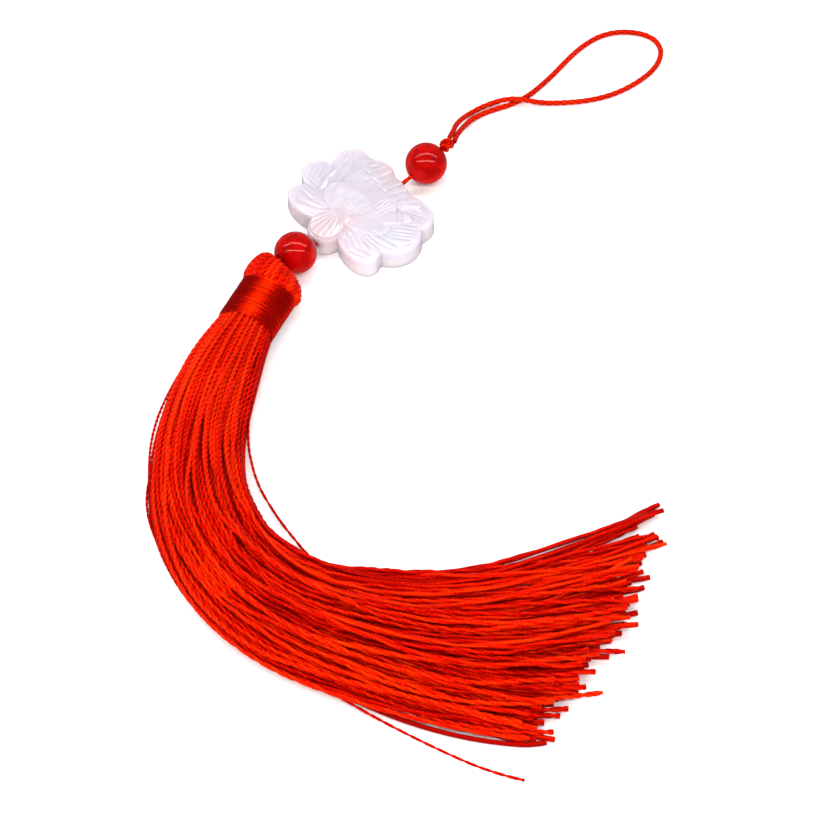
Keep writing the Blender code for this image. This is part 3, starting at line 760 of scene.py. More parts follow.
def wound_thread():
    """Thread wound round the oval neck in one close coil, with bands of painted sheen round it."""
    tree, given = new_tree(
        "wound_thread",
        Int=("Turns", "Steps a turn"),
        Float=("Thread", "Half width", "Half height", "Lowest", "Unevenness"),
        Vector=("Start", "Axis", "Sideways"),
    )
    values = {"Count": times(tree, given["Turns"], given["Steps a turn"]), "Offset": (0.0, 0.0, 0.0)}
    line = add_node(tree, "GeometryNodeMeshLine", values)
    index = add_node(tree, "GeometryNodeInputIndex")
    turns = maths(tree, "DIVIDE", index, given["Steps a turn"])
    angle = times(tree, turns, TAU)
    stray = maths(tree, "SUBTRACT", noise_along(tree, turns, 1.7, 2.0), 0.5)
    wobble = times(tree, stray, given["Unevenness"])
    along = maths(tree, "ADD", times(tree, turns, given["Thread"]), wobble)
    wide = maths(tree, "ADD", given["Half width"], wobble)
    wide = times(tree, maths(tree, "COSINE", angle), wide)
    tall = maths(tree, "ADD", given["Half height"], wobble)
    tall = times(tree, maths(tree, "SINE", angle), tall)
    place = given["Start"]
    for way, distance in ((given["Axis"], along), (given["Sideways"], wide)):
        step = vectors(tree, "SCALE", {0: way, "Scale": distance})
        place = vectors(tree, "ADD", {0: place, 1: step})
    step = add_node(tree, "ShaderNodeCombineXYZ", {"Z": tall})
    spot = parts_of(tree, vectors(tree, "ADD", {0: place, 1: step}))
    level = maths(tree, "MAXIMUM", spot[2], given["Lowest"])
    place = add_node(tree, "ShaderNodeCombineXYZ", {"X": spot[0], "Y": spot[1], "Z": level})
    line = shifted(tree, line, Position=place)
    # Painted sheen: bright bands at fixed angles round the winding, added to its shade number.
    sheen = -1.25
    for middle, sharpness, strength in BINDING_PAINTED_SHEEN:
        facing = maths(tree, "COSINE", maths(tree, "SUBTRACT", angle, middle))
        glow = maths(tree, "POWER", maths(tree, "MAXIMUM", facing, 0.0), sharpness)
        sheen = maths(tree, "MULTIPLY_ADD", glow, strength, sheen)
    tone = noise_along(tree, turns, 0.9, 3.0)
    line = stored(tree, line, "shade", maths(tree, "MULTIPLY_ADD", tone, 1.9, sheen))
    values = {"Curve": add_node(tree, "GeometryNodeMeshToCurve", {"Mesh": line})}
    values["Normal"] = given["Axis"]
    curve = add_node(tree, "GeometryNodeSetCurveNormal", values, mode="FREE")
    ring = circle(tree, 8, times(tree, given["Thread"], 0.5))
    ring = transformed(tree, ring, Scale=(0.62, 1.0, 1.0))
    return close_tree(tree, tube_along(tree, curve, ring), given["Finish"])


def paths_mesh(name, paths, **numbers):
    """A mesh of open lines, one for each path in millimetres, with numbers on their points."""
    edges = []
    first = 0
    for path in paths:
        edges += [(first + k, first + k + 1) for k in range(len(path) - 1)]
        first += len(path)
    mesh = bpy.data.meshes.new(name)
    mesh.from_pydata((np.concatenate(paths) * MM).tolist(), edges, [])
    for key, values in numbers.items():
        layer = mesh.attributes.new(key, "FLOAT", "POINT")
        layer.data.foreach_set("value", np.concatenate(values).astype(np.float32))
    return mesh


def made_by_nodes(name, mesh, maker, values):
    """The plain mesh that a geometry tree makes from a mesh of paths."""
    tree = bpy.data.node_groups.get(maker.__name__) or maker()
    carrier = bpy.data.objects.new(name + "_paths", mesh)
    bpy.context.scene.collection.objects.link(carrier)
    modifier = carrier.modifiers.new(tree.name, "NODES")
    modifier.node_group = tree
    for item in tree.interface.items_tree:
        if item.item_type == "SOCKET" and item.in_out == "INPUT" and item.name in values:
            modifier[item.identifier] = values[item.name]
    shown = carrier.evaluated_get(bpy.context.evaluated_depsgraph_get())
    result = bpy.data.meshes.new_from_object(shown)
    carrier.modifiers.remove(modifier)
    bpy.data.objects.remove(carrier, do_unlink=True)
    if len(result.polygons) == 0:
        raise RuntimeError(f"{name} came out empty")
    return result


# The pendant's own shapes


def bead_axis(side):
    """Direction of a bead's bore, away from the plaque; side is 1 above it and -1 below."""
    return np.array((0.0, side * math.cos(BEAD_BORE_TILT), math.sin(BEAD_BORE_TILT)))


def bead_middle(side):
    """Middle of a bead."""
    return np.array((0.0, side * BEAD_FROM_MIDDLE, BEAD_RADIUS))


def bead_points(side):
    """A bored bead: its round outside, rounded bore edges and the bore's wall."""
    axis = bead_axis(side)
    edge = math.asin((BEAD_BORE_RADIUS + BEAD_BORE_ROUNDING) / BEAD_RADIUS)
    profile = []
    for k in range(BEAD_RINGS + 1):
        angle = edge + (math.pi - 2 * edge) * k / BEAD_RINGS
        profile.append((BEAD_RADIUS * math.cos(angle), BEAD_RADIUS * math.sin(angle)))
    half = BEAD_RADIUS * math.cos(edge)
    rounding = []
    for k in (1, 2, 3):
        turn = math.pi / 2 * k / 3
        drop = BEAD_BORE_ROUNDING * (1.0 - math.cos(turn))
        inward = BEAD_BORE_ROUNDING * (1.0 - math.sin(turn))
        rounding.append((half - drop, BEAD_BORE_RADIUS + inward))
    profile += [(-along, radius) for along, radius in rounding] + rounding[::-1]
    angles = round_angles(BEAD_SIDES)
    circle = np.cos(angles)[:, None] * RIGHT + np.sin(angles)[:, None] * np.cross(axis, RIGHT)
    points = [bead_middle(side) + along * axis + radius * circle for along, radius in profile]
    return np.concatenate(points), len(profile)


def petal_places(petals, x, y):
    """Each petal's own measure of points: along it and across it, both 1 at its rim."""
    table = np.array(petals)
    heading = np.radians(table[:, 4])[:, None]
    dx = x[None, :] - table[:, 0][:, None]
    dy = y[None, :] - table[:, 1][:, None]
    along = (dx * np.cos(heading) + dy * np.sin(heading)) / table[:, 2][:, None]
    across = (-dx * np.sin(heading) + dy * np.cos(heading)) / table[:, 3][:, None]
    return along, across


def plaque_reach(angles):
    """Distance from the plaque's middle to its outline: the outer petals' rims, a little smoothed."""
    zero = np.zeros(1)
    start = petal_places(OUTER_PETALS, zero, zero)
    step = petal_places(OUTER_PETALS, np.cos(angles), np.sin(angles))
    run = (step[0] - start[0], step[1] - start[1])
    a = run[0] ** 2 + run[1] ** 2
    b = 2 * (start[0] * run[0] + start[1] * run[1])
    c = start[0] ** 2 + start[1] ** 2 - 1.0
    inside = b * b - 4 * a * c
    reach = np.where(inside > 0.0, (-b + np.sqrt(np.maximum(inside, 0.0))) / (2 * a), 0.0)
    reach = reach.max(axis=0)
    for _ in range(PLAQUE_SMOOTHINGS):
        reach = (np.roll(reach, 1) + 2 * reach + np.roll(reach, -1)) / 4
    return reach


def bowl_strokes():
    """The row of nearly upright strokes on the flower's middle petal."""
    rows = []
    for place in np.linspace(-1.0, 1.0, BOWL_STROKES):
        top = BOWL_MIDDLE + BOWL_HALF_WIDTH * place
        low = BOWL_MIDDLE + BOWL_NARROWING * BOWL_HALF_WIDTH * place
        start = (top, BOWL_STROKE_TOP - BOWL_TOP_FALL * place**2)
        end = (low, BOWL_STROKE_LOW + BOWL_LOW_RISE * place**2)
        rows.append((*start, *end, BOWL_STROKE_WIDTH, BOWL_STROKE_CUT))
    return tuple(rows)


def stroke_depth(x, y):
    """Depth of the carved strokes at points of the face."""
    depth = np.zeros(len(x))
    for x0, y0, x1, y1, width, cut in STROKES + bowl_strokes():
        run = np.array((x1 - x0, y1 - y0))
        share = ((x - x0) * run[0] + (y - y0) * run[1]) / (run @ run)
        held = np.clip(share, 0.0, 1.0)
        far = np.hypot(x - x0 - held * run[0], y - y0 - held * run[1])
        taper = 0.35 + 0.65 * np.sin(math.pi * held) ** 0.5
        depth += cut * taper * np.exp(-((far / width) ** 2))
    return depth


def carved_height(x, y, share):
    """Height of the carved face: a low dome, petals laid over petals, and cut strokes."""
    petals = OUTER_PETALS + INNER_PETALS
    along, across = petal_places(petals, x, y)
    rise = np.clip(1.0 - share**2, 0.0, 1.0) ** PLAQUE_DOME_FULLNESS
    dome = PLAQUE_RIM_HEIGHT + PLAQUE_DOME_RISE * rise
    height = dome - PETAL_STEP
    for k, (_, _, length, width, _, veins, depth) in enumerate(petals):
        step = 0.0 if k < len(OUTER_PETALS) else (k - len(OUTER_PETALS) + 1) * PETAL_STEP / 6
        rim = along[k] ** 2 + across[k] ** 2
        body = np.sqrt(np.clip(1.0 - rim, 0.0, 1.0))
        lip = np.exp(-(((1.0 - rim) / PETAL_LIP_WIDTH) ** 2))
        relief = step + PETAL_RISE * body + PETAL_LIP * lip
        if veins:
            spread = np.arctan2(across[k], along[k] + VEIN_ROOT)
            fade = ease((1.0 - rim) / 0.3) * ease((along[k] + 1.0) / 0.45)
            vein = (0.5 + 0.5 * np.cos(spread * veins * VEIN_RATE)) ** 2
            relief = relief - VEIN_DEPTH * depth * vein * fade
        inside = ease((1.0 - rim) * min(length, width) / PETAL_EDGE)
        height = height + inside * (dome + relief - height)
    return height - STROKE_DEPTH * stroke_depth(x, y)


def plaque_points(face_rings, sides):
    """The plaque's rings from its face over the rim and down to the floor, then its two poles."""
    angles = round_angles(sides)
    reach = plaque_reach(angles)
    rings = []

    def add_ring(out, height):
        rings.append(np.stack((out * np.cos(angles), out * np.sin(angles), height), axis=1))

    for share in np.linspace(0.0, PLAQUE_FACE_SHARE, face_rings + 1)[1:]:
        x, y = reach * share * np.cos(angles), reach * share * np.sin(angles)
        rings.append(np.stack((x, y, carved_height(x, y, np.full(sides, share))), axis=1))
    edge = rings[-1][:, 2]
    brim = (1.0 - PLAQUE_FACE_SHARE) * reach
    for k in range(1, PLAQUE_RIM_RINGS + 1):
        turn = math.pi / 2 * k / PLAQUE_RIM_RINGS
        drop = PLAQUE_RIM_DROP * (1.0 - math.cos(turn))
        add_ring(reach * PLAQUE_FACE_SHARE + brim * math.sin(turn), edge - drop)
    out = reach * PLAQUE_FACE_SHARE + brim
    top = rings[-1][:, 2]
    for k in range(1, PLAQUE_WALL_RINGS + 1):
        add_ring(out, top + (PLAQUE_FLOOR_BEVEL - top) * k / PLAQUE_WALL_RINGS)
    for k in range(1, PLAQUE_BEVEL_RINGS + 1):
        turn = math.pi / 2 * k / PLAQUE_BEVEL_RINGS
        shrink = 1.0 - PLAQUE_FLOOR_BEVEL * (1.0 - math.cos(turn)) / reach
        add_ring(out * shrink, np.full(sides, PLAQUE_FLOOR_BEVEL * (1.0 - math.sin(turn))))
    zero = np.zeros(1)
    poles = [(0.0, 0.0, carved_height(zero, zero, zero)[0]), (0.0, 0.0, 0.0)]
    return np.concatenate((*rings, poles)), len(rings)


def bored(piece, finish):
    """The plaque's mesh with the string's bore cut through it."""
    shape = bmesh.new()
    bmesh.ops.create_cone(
        shape,
        cap_ends=True,
        segments=PLAQUE_BORE_SIDES,
        radius1=PLAQUE_BORE_RADIUS * MM,
        radius2=PLAQUE_BORE_RADIUS * MM,
        depth=2 * BEAD_FROM_MIDDLE * MM,
    )
    mesh = bpy.data.meshes.new("bore")
    shape.to_mesh(mesh)
    shape.free()
    mesh.materials.append(finish)
    cutter = bpy.data.objects.new("bore", mesh)
    cutter.rotation_euler = (math.pi / 2, 0.0, 0.0)
    cutter.location = (0.0, 0.0, PLAQUE_BORE_HEIGHT * MM)
    bpy.context.scene.collection.objects.link(cutter)
    cut = piece.modifiers.new("bore", "BOOLEAN")
    cut.operation = "DIFFERENCE"
    cut.solver = "EXACT"
    cut.object = cutter
    bpy.context.view_layer.update()
    shown = piece.evaluated_get(bpy.context.evaluated_depsgraph_get())
    result = bpy.data.meshes.new_from_object(shown)
    piece.modifiers.remove(cut)
    bpy.data.objects.remove(cutter, do_unlink=True)
    result.set_sharp_from_angle(angle=PLAQUE_SHARP_ANGLE)
    return result


def head_points(along, sideways, height):
    """Points of the head, measured from the lower bead's middle along the head's axis."""
    x = along * math.sin(HEAD_TURN) + sideways * math.cos(HEAD_TURN)
    y = -BEAD_FROM_MIDDLE - along * math.cos(HEAD_TURN) + sideways * math.sin(HEAD_TURN)
    return np.stack((x, y, height), axis=-1)


def head_rows(stops):
    """Sizes of the head's rings, numbered from the dimple to the waist."""
    return smooth_rows(np.column_stack((np.arange(len(HEAD_RINGS)), HEAD_RINGS)), stops)[:, 1:]


def head_surface(stops, angles, inset):
    """Points on the folded head: stops count the rings from the dimple to the waist."""
    along, wide, tall, middle, shift = head_rows(stops).T
    turned = HEAD_FACE_TURN * ease((BINDING_START - along) / HEAD_FACE_FADE)
    sideways = (wide - inset) * np.cos(angles)
    height = middle + (tall - inset) * np.sin(angles)
    deeper = inset * np.clip((BINDING_START - along) / HEAD_FACE_FADE, 0.0, 1.0)
    crest = ease(-np.cos(angles)) * ease((BINDING_START - along) / HEAD_FACE_FADE)
    return head_points(
        along + deeper - HEAD_CREST_RISE * crest + sideways * np.sin(turned),
        shift + sideways * np.cos(turned),
        np.maximum(height, inset),
    )


def core_points():
    """The solid core under the folded yarn and the winding, its rings and then its two poles."""
    angles = round_angles(HEAD_SIDES)
    last = len(HEAD_RINGS) - 1.0
    stops = np.linspace(0.0, last, CORE_RINGS)
    rings = [head_surface(np.full(HEAD_SIDES, stop), angles, HEAD_CORE_INSET) for stop in stops]
    _, wide, tall, middle, _ = head_rows([last])[0]
    for along in np.linspace(NECK_START, NECK_END, NECK_RINGS):
        height = np.maximum(middle + tall * np.sin(angles), NECK_LOWEST)
        rings.append(head_points(np.full(HEAD_SIDES, along), wide * np.cos(angles), height))
    poles = [rings[0].mean(axis=0), rings[-1].mean(axis=0)]
    return np.concatenate((*rings, poles)), len(rings)


# One strand: its points and half thickness, the turn of its plies at each point, its shade, and
# its place across and up the bundle.
Strand = namedtuple("Strand", "line girth phase shade across up", defaults=(0.0, 0.0))


def folded_strands(yarn):
    """The strands that fold over the head, from the waist up and in to the dimple."""
    rng = np.random.default_rng(11)
    strands = []
    for k in range(yarn.head_strands):
        run = np.linspace(len(HEAD_RINGS) - 1.0, FOLD_ENDS[k % len(FOLD_ENDS)], FOLD_POINTS)
        base = TAU * (k + 0.5) / yarn.head_strands
        sway = rng.uniform(-FOLD_SWAY, FOLD_SWAY) * np.sin(np.linspace(0.0, math.pi, FOLD_POINTS))
        line = head_surface(run, base + sway, np.full(FOLD_POINTS, FOLD_INSET))
        girth = np.full(FOLD_POINTS, yarn.strand_diameter / 2) * np.interp(run, *FOLD_GIRTH)
        phase = np.full(FOLD_POINTS, rng.uniform(0.0, TAU))
        shade = FOLD_SHADE[0] + FOLD_SHADE[1] * rng.random()
        strands.append(Strand(line, girth, phase, shade))
    return strands


def skirt_frame(stops):
    """The skirt's middle, inward side, section sizes and settling at distances along it."""
    rows = smooth_rows(SKIRT_SECTIONS, stops)
    step = smooth_rows(SKIRT_SECTIONS, stops + 0.5) - smooth_rows(SKIRT_SECTIONS, stops - 0.5)
    direction = step[:, 1:3] / np.linalg.norm(step[:, 1:3], axis=1)[:, None]
    inward = np.stack((-direction[:, 1], direction[:, 0]), axis=1)
    return rows[:, 1:3], inward, rows[:, 3], rows[:, 4], np.clip(rows[:, 5], 0.0, 1.0)


def lattice(count):
    """Places in the unit disc, evenly spaced however the disc is stretched."""
    golden = (1.0 + math.sqrt(5.0)) / 2.0
    step = math.sqrt(math.pi / (math.sqrt(5.0) * count))
    numbers = np.arange(-LATTICE_REACH, LATTICE_REACH + 1)
    m, n = np.meshgrid(numbers, numbers)
    x = (m + n * golden) * step + LATTICE_SHIFT[0]
    y = (m + n * (1.0 - golden)) * step + LATTICE_SHIFT[1]
    keep = x * x + y * y < LATTICE_DISC
    return np.stack((x[keep], y[keep]), axis=1)


def wander(rng, stops, count, waves, size):
    """Slow sideways drift of each strand, nothing at the roots."""
    drift = np.zeros((len(stops), count))
    for wave in waves:
        phase = rng.uniform(0.0, TAU, count)
        amount = rng.normal(0.0, size, count)
        drift += amount * np.sin(TAU * stops[:, None] / wave + phase)
    return drift * ease(stops / 30.0)[:, None]


def laid_out(rng, stops, places, full, wide, tall, settled):
    """Side and height of each strand before packing: drifting, and laid on the floor."""
    count = len(places)
    across = places[:, 0] + wander(rng, stops, count, SIDEWAYS_WAVES, SIDEWAYS_DRIFT)
    crossing = rng.random(count) < FEW
    start = rng.uniform(*DRIFTER_START, count)
    shift = rng.uniform(*DRIFTER_SHIFT, count) * -np.sign(places[:, 0])
    shift = np.where(crossing, shift, 0.0)
    across = across + shift * ease((stops[:, None] - start) / DRIFTER_RUN)
    up = places[:, 1] + wander(rng, stops, count, UPWARD_WAVES, UPWARD_DRIFT)
    up = np.clip(up, -1.0, 1.0)
    free = NECK_HEIGHT + tall[:, None] * up
    round_top = np.sqrt(np.maximum(1.0 - BUNDLE_ROUNDNESS * across**2, 0.1))
    laid = np.maximum(full / 2 + tall[:, None] * (up + round_top), full / 2)
    height = (1.0 - settled[:, None]) * free + settled[:, None] * laid
    return wide[:, None] * across, height


def packed(stops, side, height, girth, wide, settled):
    """The strands pushed apart where they would share a place, and smoothed along their length."""
    fixed = ease(stops / ROOT_RUN)[:, None]
    edge = BUNDLE_EDGE * wide[:, None]
    floor = girth.max() / 2
    for _ in range(PACKING_ROUNDS):
        dx = side[:, :, None] - side[:, None, :]
        dz = height[:, :, None] - height[:, None, :]
        gap = np.sqrt(dx * dx + dz * dz) + 1e-6
        push = np.clip(PACKING_SPACE * girth[:, None, None] - gap, 0.0, None) * PACKING_PUSH / gap
        side += (push * dx).sum(axis=2) * fixed
        height += (push * dz).sum(axis=2) * fixed
        height -= SETTLING * fixed * settled[:, None]
        height = np.maximum(height, floor)
        side = np.clip(side, -edge, edge)
        for line in (side, height):
            line[1:-1] = 0.5 * line[1:-1] + 0.25 * (line[:-2] + line[2:])
    return side, height


def add_strays(stops, places, side):
    """Push the strays out of the bundle and give each strand's share of its thickness."""
    low = np.where(places[:, 1] < 0.25)[0]
    edge = low[np.argsort(places[low, 0])]
    slim = np.ones(len(places))
    for which, (turn, start, end, distance) in zip((edge[-1], *edge[:3]), STRAYS):
        slim[which] = STRAY_THINNESS
        inside = (stops > start) & (stops < end)
        swing = np.sin(math.pi * (stops - start) / (end - start)) ** 2 * distance
        side[:, which] += np.where(inside, turn * swing, 0.0)
    return slim


def add_crossings(rng, stops, places, side, height, wide, full):
    """Lay some top strands over their neighbours and give each strand's place across."""
    across = side / wide[:, None]
    top = np.where((places[:, 1] > 0.3) & (np.abs(places[:, 0]) < 0.85))[0]
    for which in rng.choice(top, CROSSING_STRANDS, replace=False):
        start = rng.uniform(*CROSSING_START)
        run = rng.uniform(*CROSSING_RUN)
        outward = start < 45.0 or places[which, 0] > 0.3
        drift = rng.uniform(*CROSSING_SHIFT) * (-1.0 if outward else 1.0)
        moved = across[:, which] + drift * ease((stops - start) / run)
        moved = np.clip(moved, -CROSSING_LIMIT, CROSSING_LIMIT)
        across[:, which] = moved
        side[:, which] = moved * wide
        near = np.abs(side - side[:, which][:, None]) < CROSSING_REACH * full
        near[:, which] = False
        roof = np.where(near, height, 0.0).max(axis=1) + CROSSING_RISE * full
        over = ease((stops - start + 6.0) / 12.0)
        for _ in range(3):
            roof[1:-1] = np.maximum(roof[1:-1], (roof[:-2] + roof[2:]) / 2)
        height[:, which] = np.maximum(height[:, which], over * roof)
    return across


def cut_lengths(rng, across):
    """Length of each strand: the trim line, an uneven cut, and a few that reach further."""
    trim = np.array(TRIM_LINE)
    count = len(across)
    lengths = np.interp(across, trim[:, 0], trim[:, 1]) + rng.normal(0.0, LENGTH_SPREAD, count)
    lengths += np.where(rng.random(count) < FEW, rng.uniform(*EXTRA_LENGTH, count), 0.0)
    return np.minimum(lengths, LONGEST_STRAND)


def skirt_strands(yarn):
    """All the skirt's strands, packed side by side."""
    rng = np.random.default_rng(7)
    places = lattice(yarn.strand_count)
    stops = np.arange(0.0, STRAND_REACH, STRAND_STEP)
    middle, inward, wide, tall, settled = skirt_frame(stops)
    full = yarn.strand_diameter / MM
    girth = full * (ROOT_SHARE + (1.0 - ROOT_SHARE) * ease(stops / ROOT_RUN))
    side, height = laid_out(rng, stops, places, full, wide, tall, settled)
    side, height = packed(stops, side, height, girth, wide, settled)
    slim = add_strays(stops, places, side)
    across = add_crossings(rng, stops, places, side, height, wide, full)
    lengths = cut_lengths(rng, across[round(TRIM_READ_AT / STRAND_STEP)])
    flat = middle[:, None, :] + inward[:, None, :] * side[:, :, None]
    points = np.concatenate((flat, height[:, :, None]), axis=2)
    loosened = LOOSE_SHARE * ease((stops - LOOSE_START) / LOOSE_RUN) * (stops[1] - stops[0])
    lost_turns = np.cumsum(loosened) / (yarn.ply_turn / MM)
    strands = []
    for k, length in enumerate(lengths):
        wanted = np.append(stops[stops < length - 1.0], length)
        line = np.stack([np.interp(wanted, stops, points[:, k, axis]) for axis in range(3)], axis=1)
        back = (line[0] - line[1]) / np.linalg.norm(line[0] - line[1])
        line = np.concatenate(((line[0] + back * ROOT_LENGTH)[None], line))
        wanted = np.append(0.0, wanted)
        thick = np.interp(wanted, stops, girth) / 2
        thick *= slim[k] * (1.0 + TIP_SWELL * ease((wanted - length + 7.0) / 6.0))
        # Strands lower in the bundle get painted shade.
        base, varied, painted_height_shade = SKIRT_SHADE
        shade = np.clip(base + varied * rng.random() + painted_height_shade * places[k, 1], 0.0, 1.0)
        pitch = yarn.ply_turn / MM / rng.uniform(-PLY_UNEVENNESS, PLY_UNEVENNESS)
        turns = wanted / pitch - np.interp(wanted, stops, lost_turns)
        phase = rng.uniform(0.0, TAU) + TAU * turns
        strands.append(Strand(line, thick * MM, phase, shade, *places[k]))
    return strands


def strand_piece(name, strands, step, yarn, plain=False):
    """A piece of many strands made into yarn. Plain ones, hidden under others, show no plies."""
    finish = silk_finish(yarn)
    guides = paths_mesh(
        name,
        [strand.line for strand in strands],
        girth=[strand.girth for strand in strands],
        phase=[strand.phase * (0.0 if plain else 1.0) for strand in strands],
        shade=[np.full(len(strand.line), strand.shade) for strand in strands],
    )
    values = {
        "Ply turn": 1.0 if plain else yarn.ply_turn,
        "Ring step": step,
        "Lobe height": 1.0 if plain else yarn.lobe_height,
        "Waist height": 0.9 if plain else yarn.waist_height,
        "Finish": finish,
    }
    mesh = made_by_nodes(name, guides, two_ply_yarn, values)
    finish_piece(name, mesh, finish, "tassel")


def cord_mesh(name, lines, radius, cord, step=0.00016, sides=16):
    """Braided cord along lines in millimetres."""
    mesh = paths_mesh(
        name,
        lines,
        girth=[np.full(len(line), radius) for line in lines],
        shade=[np.full(len(line), 0.5) for line in lines],
    )
    values = {
        "Ring step": step,
        "Sides": sides,
        "Crossings around": BRAID_CROSSINGS,
        "Crossing length": BRAID_LENGTH,
        "Relief": cord.relief,
        "Finish": cord_finish(cord),
    }
    return made_by_nodes(name, mesh, braided_cord, values)


# Sizes and colours that a user would change


class PendantYarnSettings(bpy.types.PropertyGroup):
    """The silk yarn of the skirt and the head."""

    strand_count: IntProperty(
        name="Strands", description="Strands in the skirt, give or take a few",
        default=166, min=20, max=300,
    )
    strand_diameter: FloatProperty(
        name="Strand", description="Thickness of one strand", default=0.00108, unit="LENGTH"
    )
    ply_turn: FloatProperty(
        name="Ply turn", description="Length of one full turn of the two plies",
        default=0.0027, unit="LENGTH",
    )
    lobe_height: FloatProperty(
        name="Lobe height", description="Height of the section's two lobes",
        default=1.12, min=0.4, max=1.6,
    )
    waist_height: FloatProperty(
        name="Waist height", description="Height between the section's lobes",
        default=0.7, min=0.1, max=1.0,
    )
    head_strands: IntProperty(
        name="Folded strands", description="Strands that show round the head", default=54
    )
    # Lit and deep reds: mixed strand by strand for each strand's own tone, and for painted shade and
    # painted glints.
    lit: FloatVectorProperty(
        name="Lit red", description="The yarn's bright red",
        default=(0.69, 0.003, 0.0002), subtype="COLOR",
    )
    deep: FloatVectorProperty(
        name="Deep red", description="The yarn's deep red",
        default=(0.285, 0.0003, 0.0001), subtype="COLOR",
    )


class PendantThreadSettings(bpy.types.PropertyGroup):
    """The thread that is wound round the neck."""

    turns: IntProperty(name="Turns", description="Turns of the winding", default=26, min=4, max=80)
    unevenness: FloatProperty(
        name="Unevenness", description="How far a turn strays from its place",
        default=0.00012, unit="LENGTH",
    )
    # Lit and deep reds: mixed turn by turn for each turn's own tone, and for the painted sheen bands.
    lit: FloatVectorProperty(
        name="Lit red", description="The thread's bright red",
        default=(0.85, 0.005, 0.0003), subtype="COLOR",
    )
    deep: FloatVectorProperty(
        name="Deep red", description="The thread's deep red",
        default=(0.3, 0.001, 0.0001), subtype="COLOR",
    )


class PendantCordSettings(bpy.types.PropertyGroup):
    """The braided cord of the loop, the knot and the string."""

    diameter: FloatProperty(
        name="Cord", description="Thickness of the cord", default=0.0012, unit="LENGTH"
    )
    relief: FloatProperty(
        name="Braid relief", description="Height of the braid's crossings",
        default=0.00009, unit="LENGTH",
    )
    # Lit and deep reds: mixed for painted shade in the braid's valleys.
    lit: FloatVectorProperty(
        name="Lit red", description="The cord's bright red",
        default=(0.74, 0.009, 0.0004), subtype="COLOR",
    )
    deep: FloatVectorProperty(
        name="Deep red", description="The cord's deep red",
        default=(0.26, 0.001, 0.0002), subtype="COLOR",
    )


class PendantStoneSettings(bpy.types.PropertyGroup):
    """The beads and the carved flower."""

    bead: FloatVectorProperty(
        name="Bead", description="The beads' red", default=(0.43, 0.0003, 0.0003), subtype="COLOR"
    )
    pale: FloatVectorProperty(
        name="Pale", description="The stone's body", default=(0.492, 0.447, 0.505), subtype="COLOR"
    )
    warm: FloatVectorProperty(
        name="Warm", description="The stone's warm drifts",
        default=(0.54, 0.388, 0.402), subtype="COLOR",
    )
    cool: FloatVectorProperty(
        name="Cool", description="The stone's cool drifts",
        default=(0.455, 0.468, 0.528), subtype="COLOR",
    )
    # Painted light: the paler colour painted low on the walls, for light glowing through the stone.
    wall: FloatVectorProperty(
        name="Wall", description="The stone low on its walls",
        default=(0.68, 0.6, 0.62), subtype="COLOR",
    )
    face_rings: IntProperty(
        name="Face rings", description="Rings of points on the carved face", default=104
    )
    face_sides: IntProperty(name="Face sides", description="Points in each ring", default=600)


class PendantStageSettings(bpy.types.PropertyGroup):
    """The lights."""

    sky: FloatProperty(name="Sky", description="Strength of the even light", default=0.24)
    strip_power: FloatProperty(
        name="Strip lamps", description="Power of each long lamp", default=5.6, unit="POWER"
    )
    key_power: FloatProperty(
        name="Key lamp", description="Power of the broad lamp", default=5.5, unit="POWER"
    )
    fill_power: FloatProperty(
        name="Fill lamp", description="Power of the low lamp", default=11.0, unit="POWER"
    )


class PendantSettings(bpy.types.PropertyGroup):
    """All of the pendant's settings."""

    yarn: PointerProperty(name="Yarn", description="The silk yarn", type=PendantYarnSettings)
    thread: PointerProperty(name="Thread", description="The winding", type=PendantThreadSettings)
    cord: PointerProperty(name="Cord", description="The braided cord", type=PendantCordSettings)
    stone: PointerProperty(name="Stone", description="Beads and plaque", type=PendantStoneSettings)
    stage: PointerProperty(name="Stage", description="The lights", type=PendantStageSettings)


# Operators


